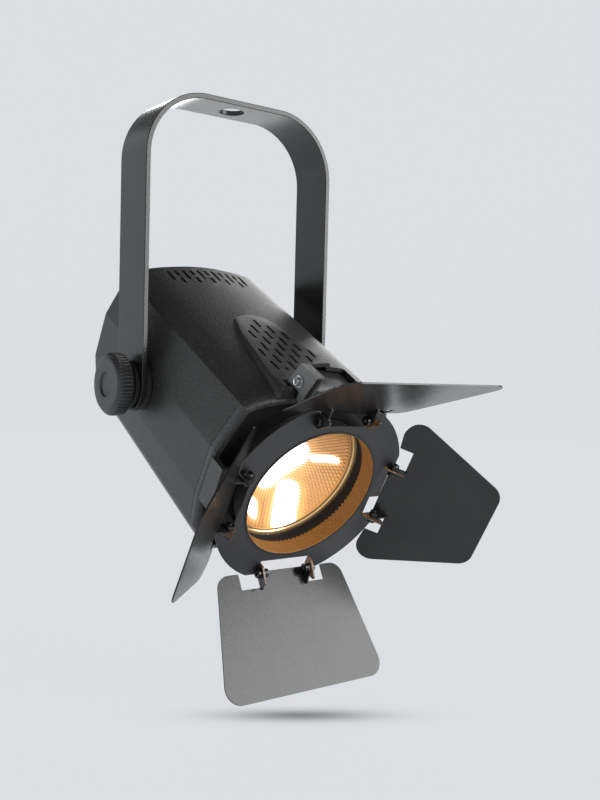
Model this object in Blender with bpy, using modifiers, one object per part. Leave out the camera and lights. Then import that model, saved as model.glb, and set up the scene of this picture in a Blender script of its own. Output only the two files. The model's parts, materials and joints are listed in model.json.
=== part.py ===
"""Small LED stage light on a bent flat-bar yoke, with four-leaf barn doors.

The part's frame: metres, +Z up, origin at the centre of the hanging hole on the yoke's top face,
+X along the tilt axis and the light's front towards -Y. The housing hangs tilted down by TILT.
Lengths below are written in millimetres and turned into metres by mm().
"""
import math

import bmesh
import bpy
from mathutils import Euler, Matrix, Vector

GAP = 0.3                       # clearance between pieces that touch

# Yoke: a flat bar bent into an upside-down U
YOKE_WIDTH = 130.0              # outside, across the legs
YOKE_BAR = 3.0                  # bar thickness
YOKE_DEPTH = 31.0               # bar width, front to back
YOKE_BEND = 39.0                # outer bend radius
TILT_DROP = 168.0               # from the top face down to the tilt axis
HANG_HOLE = 15.0                # hanging hole, diameter
STUD_HOLE = 8.8                 # clearance hole for the M8 tilt studs

# Tilt knobs, washers and friction discs; distances run outwards from a leg's outer face
KNOB_RADIUS = 17.8
KNOB_RIBS = 50
RIB_DEPTH = 0.9
KNOB_START = 5.2
KNOB_END = 15.1
KNOB_CHAMFER = 2.2
DISH_RADIUS = 7.0               # shallow dish in the knob's face
DISH_DEPTH = 1.3
KNOB_BORE = 4.3                 # radius, blind, over the stud
HUB_START = 3.0                 # the knob's hub, on the washer
HUB_RADIUS = 11.5
STUD_RADIUS = 4.0
WASHER_RADIUS = 13.6

# Housing, in the beam frame: x right, d forward along the beam, u up from the beam axis
TILT = math.radians(29.0)       # beam below the horizontal, as it hangs
BEAM_DROP = 6.5                 # beam axis below the tilt axis
REAR = -64.0                    # rear end of the shell
SHELL_FRONT = 81.5              # shell's front end, where the bezel starts
RIM = 87.5                      # bezel's front face
WALL = 2.5
CREASE = (49.0, 45.1)           # sharp edge between the top and the side panels
CROWN_CURVE = ((0.0, 0.0), (10.0, 0.035), (19.0, 0.126), (28.0, 0.24), (35.5, 0.388), (41.0, 0.58),
               (45.0, 0.777), (49.0, 1.0))          # half width, share of the drop to the crease
CROWN_REAR = 55.4               # height of the top panel's middle
CROWN_FRONT = 52.8
BOTTOM = -47.5                  # bottom panel
SCOOP_TOP = 54.6                # flat vented platform on the top panel

# Openings in the top panel, in (x, d)
SLOT_WIDTH = 1.7
VENT_LENGTH = 9.3               # brick pattern of slots in the platform
VENT_PITCH = (5.7, 13.9)
VENT_FIRST = 5.8
REAR_VENTS = 11                 # columns near the rear edge, long ones and pairs of short ones in turn
REAR_VENT_PITCH = 5.25
REAR_VENT_LONG = ((-59.0, -46.5),)
REAR_VENT_SHORT = ((-59.0, -52.0), (-49.5, -42.2))
POCKET = [(1.0, 61.0), (5.5, 57.5), (37.5, 54.0), (36.0, 79.0), (1.0, 79.0)]

# Latch: a folded bracket that pivots on a boss of the bezel and holds accessories down
LATCH_X = -17.25                # middle of the bracket
LATCH_D = 86.2                  # its pivot
LATCH_U = 60.2
LATCH_HALF = 2.75               # outside half width
LATCH_PIN = 1.7                 # hole radius in the boss
LATCH_SHEET = 1.0

# Rear panel and its controls, in the beam frame
PANEL = (-63.4, -61.2)          # between two distances along the beam
SOCKETS = (("data_in_socket", -24.0), ("data_out_socket", 24.0))
SOCKET_U = 6.0
BUTTONS = ("menu", "down", "up", "enter")
BUTTON_U = 17.0
BUTTON_PITCH = 8.0

# Barn doors
PLATE_FRONT = 104.6             # front face of the ring plate
PLATE_THICK = 1.0
PLATE_RADIUS = 58.2
TUBE_INNER = 39.9
TUBE_OUTER = 40.9
RING_TURN = math.radians(0.8)   # the ring sits slightly turned about the beam
HINGE_RADIUS = 49.7             # hinge axes, from the beam axis
HINGE_D = 107.8
LEAF_OFFSET = 4.7               # leaf sheet's middle, outside its hinge axis
LEAF_SHEET = 0.8
LEAF_NAMES = ("leaf_bottom", "leaf_right", "leaf_top", "leaf_left")
LEAF_OPEN = (32.9, 46.4, 43.6, 48.1)                # degrees out from the beam, as shown
FLARED_LEAF = dict(hinge=84.0, outer=108.8, start=-2.0, sweep=0.0, end=65.5, corner=8.0)
TAPERED_LEAF = dict(hinge=103.6, outer=49.7, start=-1.2, sweep=2.8, end=62.4, corner=9.0)
END_CORNER = 9.0
EAR_T = (16.4, 17.4)            # ring ear, along the hinge from its middle
TAB_T = (15.0, 16.0)            # leaf tab, beside it
NOTCH_T = (15.0, 28.5)          # leaf notch over the ear, and how far it reaches from the hinge
NOTCH_END = 7.0

SIDES = (("left", -1), ("right", 1))


def mm(value):
    return value * 0.001


# ---------------------------------------------------------------- scene and materials

def clear_scene():
    for item in list(bpy.data.objects):
        bpy.data.objects.remove(item, do_unlink=True)


def make_collection(name):
    collection = bpy.data.collections.new(name)
    bpy.context.scene.collection.children.link(collection)
    return collection


def make_material(name, colour, roughness, metallic=0.0):
    material = bpy.data.materials.new(name)
    material.use_nodes = True
    shader = material.node_tree.nodes["Principled BSDF"]
    shader.inputs["Base Color"].default_value = (*colour, 1.0)
    shader.inputs["Roughness"].default_value = roughness
    shader.inputs["Metallic"].default_value = metallic
    return material


clear_scene()
PARTS = make_collection("led_par_light")
CUTTERS = make_collection("cutters")

POWDER = make_material("black_powder_coat", (0.020, 0.020, 0.021), 0.55)
SHEET = make_material("black_sheet_metal", (0.030, 0.030, 0.031), 0.50)
KNOB_PLASTIC = make_material("knob_plastic", (0.035, 0.035, 0.037), 0.45)
RUBBER = make_material("washer_rubber", (0.015, 0.015, 0.015), 0.80)
STEEL = make_material("zinc_steel", (0.55, 0.55, 0.56), 0.30, 1.0)
BLACK_STEEL = make_material("black_screw_steel", (0.06, 0.06, 0.06), 0.35, 1.0)
REFLECTOR_METAL = make_material("reflector_metal", (0.90, 0.62, 0.28), 0.18, 1.0)
ALUMINIUM = make_material("heat_sink_aluminium", (0.60, 0.60, 0.62), 0.40, 1.0)
GLASS = make_material("clear_glass", (0.92, 0.95, 0.95), 0.05)
PHOSPHOR = make_material("led_phosphor", (1.0, 0.78, 0.35), 0.60)
BOARD = make_material("board_green", (0.03, 0.16, 0.07), 0.50)
WHITE_BOARD = make_material("board_white", (0.80, 0.80, 0.78), 0.45)
PLASTIC = make_material("socket_plastic", (0.025, 0.025, 0.027), 0.50)
BUTTON_RUBBER = make_material("button_rubber", (0.18, 0.18, 0.19), 0.60)
SCREEN = make_material("display_screen", (0.02, 0.03, 0.05), 0.12)


# ---------------------------------------------------------------- frames (empties)

def make_frame(name, parent=None, location=(0, 0, 0), rotation=(0, 0, 0)):
    """An empty that pieces are parented to; location in millimetres, rotation in radians."""
    frame = bpy.data.objects.new(name, None)
    PARTS.objects.link(frame)
    frame.parent = parent
    frame.location = [mm(v) for v in location]
    frame.rotation_euler = Euler(rotation)
    return frame


TILT_FRAME = make_frame("tilt_axis", location=(0, 0, -TILT_DROP), rotation=(TILT, 0, 0))
BEAM = make_frame("beam_axis", TILT_FRAME, (0, 0, -BEAM_DROP))


def beam_point(x, d, u):
    """Beam-frame coordinates: forward is -Y."""
    return Vector((mm(x), mm(-d), mm(u)))


# ---------------------------------------------------------------- shape helpers

def finish_piece(piece, material, parent=None, smooth=35.0):
    piece.parent = parent
    piece.data.materials.clear()
    piece.data.materials.append(material)
    if smooth:
        piece.data.shade_smooth()
        piece.data.set_sharp_from_angle(angle=math.radians(smooth))
    return piece


def object_from_mesh(name, mesh, collection=PARTS):
    piece = bpy.data.objects.new(name, mesh)
    collection.objects.link(piece)
    return piece


def arc(centre, radius, start, end, count):
    """Points on an arc, angles in degrees, both ends included."""
    angles = [math.radians(start + (end - start) * i / count) for i in range(count + 1)]
    return [(centre[0] + radius * math.cos(a), centre[1] + radius * math.sin(a)) for a in angles]


def rounded_outline(corners, steps=5):
    """A closed outline from (x, y, radius) corners, each rounded with its own radius."""
    points = []
    count = len(corners)
    for i, (x, y, radius) in enumerate(corners):
        corner = Vector((x, y))
        if radius <= 0:
            points.append((x, y))
            continue
        before = (Vector(corners[i - 1][:2]) - corner).normalized()
        after = (Vector(corners[(i + 1) % count][:2]) - corner).normalized()
        half = before.angle(after) / 2
        start = corner + before * (radius / math.tan(half))
        centre = corner + (before + after).normalized() * (radius / math.sin(half))
        first = start - centre
        turn = first.angle_signed(corner + after * (radius / math.tan(half)) - centre)
        for k in range(steps + 1):
            angle = -turn * k / steps
            rotated = Matrix.Rotation(angle, 2) @ first
            points.append(tuple(centre + rotated))
    return points


def outline_mesh(loops, thickness, to_place):
    """A flat piece: 2D curve loops (the first is the outside) given a thickness, as one mesh.

    to_place is a 4x4 matrix from the outline's own frame, in metres, z across the sheet."""
    curve = bpy.data.curves.new("outline", "CURVE")
    curve.dimensions = "2D"
    curve.fill_mode = "BOTH"
    curve.extrude = mm(thickness) / 2
    for loop in loops:
        spline = curve.splines.new("POLY")
        spline.points.add(len(loop) - 1)
        for point, (x, y) in zip(spline.points, loop):
            point.co = (mm(x), mm(y), 0, 1)
        spline.use_cyclic_u = True
    holder = object_from_mesh("outline", curve, CUTTERS)
    bpy.context.view_layer.update()
    evaluated = holder.evaluated_get(bpy.context.evaluated_depsgraph_get())
    mesh = bpy.data.meshes.new_from_object(evaluated)
    bpy.data.objects.remove(holder, do_unlink=True)
    bpy.data.curves.remove(curve)
    tidy = bmesh.new()
    tidy.from_mesh(mesh)
    bmesh.ops.remove_doubles(tidy, verts=tidy.verts, dist=1e-6)
    tidy.transform(to_place)
    tidy.normal_update()
    bmesh.ops.recalc_face_normals(tidy, faces=tidy.faces)
    tidy.to_mesh(mesh)
    tidy.free()
    return mesh


# An outline's (x, y) as the part's or the beam frame's axes: (x, z) facing -Y, and (y, z) facing +X.
XZ_PLANE = Matrix(((1, 0, 0, 0), (0, 0, -1, 0), (0, 1, 0, 0), (0, 0, 0, 1)))
YZ_PLANE = Matrix(((0, 0, 1, 0), (1, 0, 0, 0), (0, 1, 0, 0), (0, 0, 0, 1)))


def beam_plate(name, loops, rear, front, material=SHEET, smooth=35.0):
    """A plate square to the beam, its outline in (x, u), between two distances along the beam."""
    place = Matrix.Translation(beam_point(0, (rear + front) / 2, 0)) @ XZ_PLANE
    piece = object_from_mesh(name, outline_mesh(loops, front - rear, place))
    return finish_piece(piece, material, BEAM, smooth)


def turned_mesh(profile, steps, axis_matrix, closed=False):
    """A profile of (radius, height) turned about local Z, returned as one closed mesh."""
    mesh = bpy.data.meshes.new("turned")
    count = len(profile)
    edges = [(i, i + 1) for i in range(count - 1)] + ([(count - 1, 0)] if closed else [])
    mesh.from_pydata([(mm(r), 0, mm(z)) for r, z in profile], edges, [])
    holder = object_from_mesh("turned", mesh, CUTTERS)
    screw = holder.modifiers.new("turn", "SCREW")
    screw.steps = steps
    screw.render_steps = steps
    screw.use_merge_vertices = True
    screw.merge_threshold = 1e-6
    bpy.context.view_layer.update()
    evaluated = holder.evaluated_get(bpy.context.evaluated_depsgraph_get())
    result = bpy.data.meshes.new_from_object(evaluated)
    bpy.data.objects.remove(holder, do_unlink=True)
    bpy.data.meshes.remove(mesh)
    tidy = bmesh.new()
    tidy.from_mesh(result)
    bmesh.ops.remove_doubles(tidy, verts=tidy.verts, dist=1e-6)
    bmesh.ops.recalc_face_normals(tidy, faces=tidy.faces)
    tidy.transform(axis_matrix)
    tidy.to_mesh(result)
    tidy.free()
    return result


def axis_to(direction, at=(0, 0, 0)):
    """Matrix that lays local Z along a direction and moves to a point given in millimetres."""
    turn = Vector(direction).to_track_quat("Z", "Y").to_matrix().to_4x4()
    return Matrix.Translation([mm(v) for v in at]) @ turn


def turned(name, profile, steps, axis_matrix, material, parent=None, closed=False, smooth=35.0):
    piece = object_from_mesh(name, turned_mesh(profile, steps, axis_matrix, closed))
    return finish_piece(piece, material, parent, smooth)


BEAM_AXIS = axis_to((0, -1, 0))     # local Z forward along the beam


def box_mesh(low, high):
    """A box between two corners in millimetres."""
    mesh = bpy.data.meshes.new("box")
    box = bmesh.new()
    bmesh.ops.create_cube(box, size=1.0)
    size = [mm(h - l) for l, h in zip(low, high)]
    middle = [mm(h + l) / 2 for l, h in zip(low, high)]
    box.transform(Matrix.Translation(middle) @ Matrix.Diagonal((*size, 1)))
    box.to_mesh(mesh)
    box.free()
    return mesh


def beam_box(low, high):
    """A box between two (x, d, u) corners of the beam frame."""
    return box_mesh((low[0], -high[1], low[2]), (high[0], -low[1], high[2]))


def merged_mesh(meshes):
    """Several meshes as one, still separate bodies; used as a cutter or for a union."""
    joined = bmesh.new()
    for mesh in meshes:
        joined.from_mesh(mesh)
        bpy.data.meshes.remove(mesh)
    result = bpy.data.meshes.new("merged")
    joined.to_mesh(result)
    joined.free()
    return result


def combine(piece, meshes, operation):
    """Cuts or joins meshes, given in the piece's own frame, one after the other."""
    for mesh in meshes:
        tool = object_from_mesh(piece.name + "_tool", mesh, CUTTERS)
        tool.parent = piece.parent
        tool.hide_render = True
        tool.display_type = "WIRE"
        change = piece.modifiers.new(operation.lower(), "BOOLEAN")
        change.operation = operation
        change.solver = "EXACT"
        change.object = tool
    return piece


# ---------------------------------------------------------------- yoke and tilt clamps

def yoke_outline(inset):
    """The bent bar's edge, inset from its outer face, from the left leg's foot to the right's."""
    half = YOKE_WIDTH / 2
    radius = YOKE_BEND - inset
    foot = -TILT_DROP - YOKE_DEPTH
    left = arc((-half + YOKE_BEND, -YOKE_BEND), radius, 180, 90, 8)
    right = arc((half - YOKE_BEND, -YOKE_BEND), radius, 90, 0, 8)
    return [(-half + inset, foot)] + left + right + [(half - inset, foot)]


def make_yoke():
    outline = yoke_outline(0) + yoke_outline(YOKE_BAR)[::-1]
    yoke = object_from_mesh("yoke", outline_mesh([outline], YOKE_DEPTH * 2, XZ_PLANE))
    finish_piece(yoke, POWDER)
    half = YOKE_DEPTH / 2
    sides = arc((0, -TILT_DROP), half, 180, 360, 12) + [(half, 20.0), (-half, 20.0)]
    strip = outline_mesh([sides], YOKE_WIDTH + 20, YZ_PLANE)
    combine(yoke, [strip], "INTERSECT")
    hole = [(0, 10), (HANG_HOLE / 2, 10), (HANG_HOLE / 2, -10), (0, -10)]
    studs = [(0, 90), (STUD_HOLE / 2, 90), (STUD_HOLE / 2, -90), (0, -90)]
    combine(yoke, [turned_mesh(hole, 24, Matrix.Identity(4)),
                   turned_mesh(studs, 20, axis_to((1, 0, 0), (0, 0, -TILT_DROP)))], "DIFFERENCE")
    return yoke


def ribbed_mesh(profile, axis_matrix):
    """A (radius, height, groove) profile turned about local Z, with a groove that deep between ribs."""
    mesh = bpy.data.meshes.new("ribbed")
    solid = bmesh.new()
    turns = [(i + part, cut) for i in range(KNOB_RIBS) for part, cut in ((0.0, 0.0), (0.5, 0.0), (0.75, 1.0))]
    rings = []
    for radius, height, groove in profile:
        if radius == 0:
            rings.append([solid.verts.new((0, 0, mm(height)))])
            continue
        ring = []
        for turn, cut in turns:
            angle = 2 * math.pi * turn / KNOB_RIBS
            r = mm(radius - groove * cut)
            ring.append(solid.verts.new((r * math.cos(angle), r * math.sin(angle), mm(height))))
        rings.append(ring)
    for ring, following in zip(rings, rings[1:]):
        for i in range(len(turns)):
            k = (i + 1) % len(turns)
            if len(ring) == 1:
                solid.faces.new((ring[0], following[k], following[i]))
            elif len(following) == 1:
                solid.faces.new((ring[i], ring[k], following[0]))
            else:
                solid.faces.new((ring[i], ring[k], following[k], following[i]))
    bmesh.ops.recalc_face_normals(solid, faces=solid.faces)
    solid.transform(axis_matrix)
    solid.to_mesh(mesh)
    solid.free()
    return mesh


def make_tilt_clamp(side, sign):
    """Knob with its stud, and the washer under it, outside one leg; the friction disc inside it."""
    leg = YOKE_WIDTH / 2
    along = axis_to((sign, 0, 0), (sign * leg, 0, -TILT_DROP))
    grip_end = KNOB_END - KNOB_CHAMFER
    dish = KNOB_END - DISH_DEPTH
    profile = [(0, dish, 0), (DISH_RADIUS, dish, 0), (DISH_RADIUS + 0.8, KNOB_END, 0), (15.3, KNOB_END, 0),
               (KNOB_RADIUS, grip_end, RIB_DEPTH), (KNOB_RADIUS, KNOB_START, RIB_DEPTH),
               (HUB_RADIUS, KNOB_START, 0), (HUB_RADIUS, HUB_START, 0), (KNOB_BORE, HUB_START, 0),
               (KNOB_BORE, 10.0, 0), (0, 10.0, 0)]
    knob = object_from_mesh("tilt_knob_" + side, ribbed_mesh(profile, along))
    finish_piece(knob, KNOB_PLASTIC, smooth=30.0)
    stud = [(0, 9.5), (STUD_RADIUS, 9.5), (STUD_RADIUS, -18.5), (STUD_RADIUS - 1, -19.5), (0, -19.5)]
    turned("tilt_stud_" + side, stud, 16, along, STEEL)
    bore_radius = STUD_RADIUS + 0.5
    washer = [(bore_radius, HUB_START - GAP), (WASHER_RADIUS, HUB_START - GAP), (WASHER_RADIUS, GAP),
              (bore_radius, GAP)]
    turned("tilt_washer_" + side, washer, 24, along, RUBBER, closed=True)
    inside = axis_to((sign, 0, 0), (sign * leg, 0, 0))
    disc = [(4.6, -YOKE_BAR - GAP), (13.8, -YOKE_BAR - GAP), (14.6, -4.1), (14.6, -6.9), (4.6, -6.9)]
    turned("friction_disc_" + side, disc, 24, inside, RUBBER, TILT_FRAME, closed=True)


# ---------------------------------------------------------------- housing shell and bezel

def section(crown, side, low, inset=0.0):
    """The housing's outline in (x, u), symmetric about u: crown height, half width at the side
    and half width at the lower corner. inset moves it inwards for inner parts."""
    right = [(x, crown - share * (crown - CREASE[1])) for x, share in CROWN_CURVE]
    right += [(side, 19.0), (side, -10.0), (low, -31.0), (low - 13.0, BOTTOM)]
    left = [(-x, u) for x, u in right[::-1] if x > 1e-6]
    loop = right + left
    if not inset:
        return loop
    count = len(loop)
    moved = []
    for i, point in enumerate(loop):
        before = (Vector(point) - Vector(loop[i - 1])).normalized()
        after = (Vector(loop[(i + 1) % count]) - Vector(point)).normalized()
        middle = Vector((-(before + after).y, (before + after).x)).normalized()
        square = Vector((-after.y, after.x))
        shift = -inset / middle.dot(square)
        moved.append(tuple(Vector(point) + middle * shift))
    return moved


def section_at(d, inset=0.0):
    """The housing's outline at a distance along the beam: it narrows a little to the rear."""
    t = (RIM - d) / (RIM - REAR)
    crown = CROWN_FRONT + (CROWN_REAR - CROWN_FRONT) * t
    return section(crown, 58.4 - 1.7 * t, 55.4 - 4.2 * t, inset)


def loft_mesh(stations, inset=0.0, capped=True):
    """A skin through the housing's outline at each distance along the beam."""
    mesh = bpy.data.meshes.new("loft")
    skin = bmesh.new()
    rings = [[skin.verts.new(beam_point(x, d, u)) for x, u in section_at(d, inset)] for d in stations]
    for ring, following in zip(rings, rings[1:]):
        for i in range(len(ring)):
            k = (i + 1) % len(ring)
            skin.faces.new((ring[i], ring[k], following[k], following[i]))
    if capped:
        skin.faces.new(rings[0])
        skin.faces.new(rings[-1])
    bmesh.ops.recalc_face_normals(skin, faces=skin.faces)
    skin.to_mesh(mesh)
    skin.free()
    return mesh


def scoop_half_width(d):
    """Half width of the vented platform, growing to the front."""
    return 14.5 + 13.0 * ((d - 12.0) / 75.0) ** 0.8


def scoop_outline(grow, front):
    """The platform seen from above, in (x, d), with an arched rear end."""
    rear = arc((0, 14.0), 14.0 + grow, 150, 30, 8)
    rear = [(x * (14.5 + grow) / (14.0 + grow), 28.0 - d) for x, d in rear]
    stations = (24.0, 40.0, 58.0, front)
    right = [(scoop_half_width(d) + grow, d) for d in stations]
    left = [(-x, d) for x, d in right[::-1]]
    return rear + right + left


def scoop_mesh(levels, front):
    """The raised platform: a loft through its outline, grown by an amount at each height."""
    mesh = bpy.data.meshes.new("scoop")
    solid = bmesh.new()
    rings = [[solid.verts.new(beam_point(x, d, u)) for x, d in scoop_outline(grow, front)]
             for grow, u in levels]
    for ring, following in zip(rings, rings[1:]):
        for i in range(len(ring)):
            k = (i + 1) % len(ring)
            solid.faces.new((ring[i], ring[k], following[k], following[i]))
    solid.faces.new(rings[0])
    solid.faces.new(rings[-1])
    bmesh.ops.recalc_face_normals(solid, faces=solid.faces)
    solid.to_mesh(mesh)
    solid.free()
    return mesh


def plan_cutter(outline, low, high):
    """A cutter through the top panel: outline in (x, d), between two heights."""
    place = Matrix.Translation(beam_point(0, 0, (low + high) / 2)) @ Matrix.Diagonal((1, -1, 1, 1))
    return outline_mesh([outline], high - low, place)


def slot_outline(x, rear, front):
    """A narrow slot along the beam, in (x, d), with chamfered ends."""
    w = SLOT_WIDTH / 2
    return [(x - w, rear + w), (x, rear), (x + w, rear + w), (x + w, front - w), (x, front), (x - w, front - w)]


def scoop_vents():
    """Brick pattern of slots in the platform; the pocket cuts the right-hand columns short."""
    pitch_x, pitch_d = VENT_PITCH
    slots = []
    for column in range(-3, 4):
        x = column * pitch_x
        first = VENT_FIRST + pitch_d / 2 * (abs(column) % 2)
        for row in range(5):
            rear = first + row * pitch_d
            front = rear + VENT_LENGTH
            if abs(column) == 3:
                rear = max(rear, 33.6)
            if abs(column) == 2:
                rear = max(rear, 19.7)
            limit = 64.6 if x < -1 else (57.0 if x < 1 else 55.3)
            front = min(front, limit)
            if front - rear > 2.6:
                slots.append(slot_outline(x, rear, front))
    return slots


def rear_vents():
    """A row of slots near the rear edge: a long one and a pair of short ones in turn."""
    slots = []
    for i in range(REAR_VENTS):
        x = (i - (REAR_VENTS - 1) / 2) * REAR_VENT_PITCH
        for rear, front in REAR_VENT_SHORT if i % 2 else REAR_VENT_LONG:
            slots.append(slot_outline(x, rear, front))
    return slots


def make_shell():
    shell = object_from_mesh("housing_shell", loft_mesh((REAR, SHELL_FRONT)))
    finish_piece(shell, POWDER, BEAM)
    top = SCOOP_TOP
    outer = ((3.2, 46.5), (3.2, 49.5), (0.9, top - 0.9), (0.0, top))
    combine(shell, [scoop_mesh(outer, SHELL_FRONT)], "UNION")
    hollow = scoop_mesh(((0.4, 40.0), (0.4, 49.0), (-1.6, top - WALL)), SHELL_FRONT + 4.0)
    combine(shell, [loft_mesh((REAR - 5.0, SHELL_FRONT + 5.0), WALL), hollow], "DIFFERENCE")
    slots = [plan_cutter(slot, 44.0, 62.0) for slot in scoop_vents() + rear_vents()]
    stud = [(0, 90), (4.6, 90), (4.6, -90), (0, -90)]
    crossing = turned_mesh(stud, 16, axis_to((1, 0, 0), (0, 0, BEAM_DROP)))
    latch_slot = beam_box((-22.0, 74.5, 46.0), (-12.5, SHELL_FRONT + 1.0, 58.0))
    cuts = [merged_mesh(slots), plan_cutter(POCKET, 38.0, 62.0), latch_slot, crossing]
    combine(shell, cuts, "DIFFERENCE")
    return shell


def make_bezel():
    """Front frame of the hood, with a channel on each side for accessory frames."""
    outer = section_at(RIM)
    inner = section_at(RIM, 4.0)
    bezel = beam_plate("front_bezel", [outer, inner[::-1]], SHELL_FRONT + GAP, RIM, POWDER)
    top, half = SCOOP_TOP, scoop_half_width(RIM)
    cap = [(half + 3.2, 48.8), (half + 3.2, 49.6), (half + 0.9, top - 0.9), (half, top)]
    cap += [(-x, u) for x, u in cap[::-1]]
    place = Matrix.Translation(beam_point(0, (SHELL_FRONT + GAP + RIM) / 2, 0)) @ XZ_PLANE
    joins = [outline_mesh([cap], RIM - SHELL_FRONT - GAP, place)]
    for _, sign in SIDES:
        wall = [(sign * 58.4, 15.5), (sign * 58.4, -10.5), (sign * 55.4, -10.5), (sign * 55.4, 15.5)]
        lip = [(sign * 58.4, 15.5), (sign * 58.4, -10.5), (sign * 50.0, -10.5), (sign * 50.0, 15.5)]
        for outline, rear, front in ((wall, RIM - 1.0, 98.0), (lip, 95.8, 98.0)):
            place = Matrix.Translation(beam_point(0, (rear + front) / 2, 0)) @ XZ_PLANE
            joins.append(outline_mesh([outline], front - rear, place))
    boss = rounded_outline([(82.2, 49.0, 0), (90.0, 53.4, 0), (90.0, 64.0, 3.5), (82.2, 64.0, 3.5)])
    place = Matrix.Translation(beam_point(LATCH_X, 0, 0)) @ YZ_PLANE @ Matrix.Diagonal((-1, 1, 1, 1))
    joins.append(outline_mesh([boss], 2.9, place))
    combine(bezel, joins, "UNION")
    pin = [(0, 5), (LATCH_PIN, 5), (LATCH_PIN, -5), (0, -5)]
    cuts = [turned_mesh(pin, 12, axis_to((1, 0, 0), (LATCH_X, -LATCH_D, LATCH_U)))]
    for side in (-1, 1):
        inner, outer = sorted((LATCH_X + side * 1.6, LATCH_X + side * (LATCH_HALF + 0.5)))
        cuts.append(beam_box((inner, SHELL_FRONT - 1.0, 50.4), (outer, RIM + 3.0, 70.0)))
    combine(bezel, cuts, "DIFFERENCE")
    return bezel


def make_latch():
    arm = [(76.8, 55.3), (88.4, 55.3), (88.4, 51.5), (91.3, 49.6), (97.4, 68.2), (97.4, 69.0),
           (82.4, 69.0)]
    arm = [(-d, u) for d, u in arm]
    hole = arc((-LATCH_D, LATCH_U), 1.8, 0, 330, 11)
    middle = LATCH_HALF - LATCH_SHEET / 2
    place = Matrix.Translation(beam_point(LATCH_X - middle, 0, 0)) @ YZ_PLANE
    latch = object_from_mesh("retaining_latch", outline_mesh([arm, hole], LATCH_SHEET, place))
    finish_piece(latch, SHEET, BEAM)
    far = Matrix.Translation(beam_point(LATCH_X + middle, 0, 0)) @ YZ_PLANE
    bridge = beam_box((LATCH_X - LATCH_HALF + 0.2, 82.8, 68.0), (LATCH_X + LATCH_HALF - 0.2, 97.2, 69.0))
    combine(latch, [outline_mesh([arm, hole], LATCH_SHEET, far), bridge], "UNION")
    screw = [(0, 3.6), (1.2, 3.6), (1.6, 4.6), (2.6, 4.2), (2.9, 3.8), (2.9, 3.6), (3.6, 3.5), (3.6, 3.05),
             (1.4, 3.05), (1.4, -3.05), (2.6, -3.05), (2.6, -4.8), (0, -4.8)]
    turned("latch_screw", screw, 16, axis_to((-1, 0, 0), (LATCH_X, -LATCH_D, LATCH_U)), STEEL, BEAM)


def make_slot_lid():
    """Sheet-metal lid under the open slot in the top panel, sloping down to the right."""
    outline = [(4.0, 55.6), (37.8, 52.2), (36.8, 78.6), (4.0, 78.6)]
    slope = Matrix.Rotation(math.radians(9.0), 4, "Y")
    place = Matrix.Translation(beam_point(9.0, 0, 50.2)) @ slope @ Matrix.Translation(
        (mm(-9.0), 0, 0)) @ Matrix.Diagonal((1, -1, 1, 1))
    lid = object_from_mesh("slot_lid", outline_mesh([outline], 1.2, place))
    finish_piece(lid, SHEET, BEAM)


# ---------------------------------------------------------------- light engine and electronics

def make_light_engine():
    wall = 1.0
    depth = [i / 6 for i in range(7)]
    inside = [(8.6 + 29.9 * math.sqrt(t), 52.0 + 32.2 * t ** 1.15) for t in depth]
    outside = [(r + wall, z - wall * 0.4) for r, z in inside]
    turned("reflector", inside + outside[::-1], 28, BEAM_AXIS, REFLECTOR_METAL, BEAM, closed=True)
    ring = [(40.0, 85.4), (42.2, 85.4), (42.2, 82.4), (40.0, 82.4)]
    turned("reflector_ring", ring, 32, BEAM_AXIS, REFLECTOR_METAL, BEAM, closed=True)
    glass = [(0, 87.2), (42.0, 87.2), (42.0, 85.7), (0, 85.7)]
    turned("front_glass", glass, 32, BEAM_AXIS, GLASS, BEAM)
    opening = arc((0, 0), 42.6, 0, 350, 35)
    beam_plate("front_baffle", [section_at(79.0, WALL + GAP), opening], 79.0, 80.5)
    board = arc((0, 0), 16.0, 0, 345, 23)
    beam_plate("led_board", [board], 48.3, 49.9, WHITE_BOARD)
    emitter = [(0, 51.6), (6.5, 51.6), (7.0, 51.2), (7.0, 50.2), (0, 50.2)]
    turned("led_emitter", emitter, 24, BEAM_AXIS, PHOSPHOR, BEAM)
    make_heat_sink()


def make_heat_sink():
    """Round core with straight fins, one piece, behind the light board."""
    sink = turned("heat_sink", [(0, 48.0), (20.0, 48.0), (20.0, 10.0), (0, 10.0)], 24, BEAM_AXIS,
                  ALUMINIUM, BEAM)
    fins = []
    for i in range(16):
        fin = box_mesh((18.0, -44.0, -0.8), (34.0, -10.5, 0.8))
        fin.transform(Matrix.Rotation(2 * math.pi * (i + 0.5) / 16, 4, "Y"))
        fins.append(fin)
    combine(sink, [merged_mesh(fins)], "UNION")


def make_fan():
    half = 30.0
    frame = rounded_outline([(-half, -half, 4), (half, -half, 4), (half, half, 4), (-half, half, 4)], 3)
    beam_plate("fan_frame", [frame, arc((0, 0), 28.4, 0, 348.75, 31)], -1.0, 9.0, PLASTIC)
    struts = beam_box((-29.0, -0.9, -1.2), (29.0, 0.6, 1.2))
    cross = beam_box((-1.2, -0.9, -29.0), (1.2, 0.6, 29.0))
    combine(bpy.data.objects["fan_frame"], [struts, cross], "UNION")
    rotor = turned("fan_rotor", [(0, 8.4), (9.5, 8.4), (10.5, 7.6), (10.5, 1.0), (0, 1.0)], 24, BEAM_AXIS,
                   PLASTIC, BEAM)
    blades = []
    for i in range(7):
        blade = box_mesh((9.0, -4.2, -0.5), (27.0, 4.2, 0.5))
        blade.transform(Matrix.Rotation(math.radians(38), 4, "X"))
        blade.transform(Matrix.Translation(beam_point(0, 4.8, 0)))
        blade.transform(Matrix.Rotation(2 * math.pi * i / 7, 4, "Y"))
        blades.append(blade)
    combine(rotor, [merged_mesh(blades)], "UNION")


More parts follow.
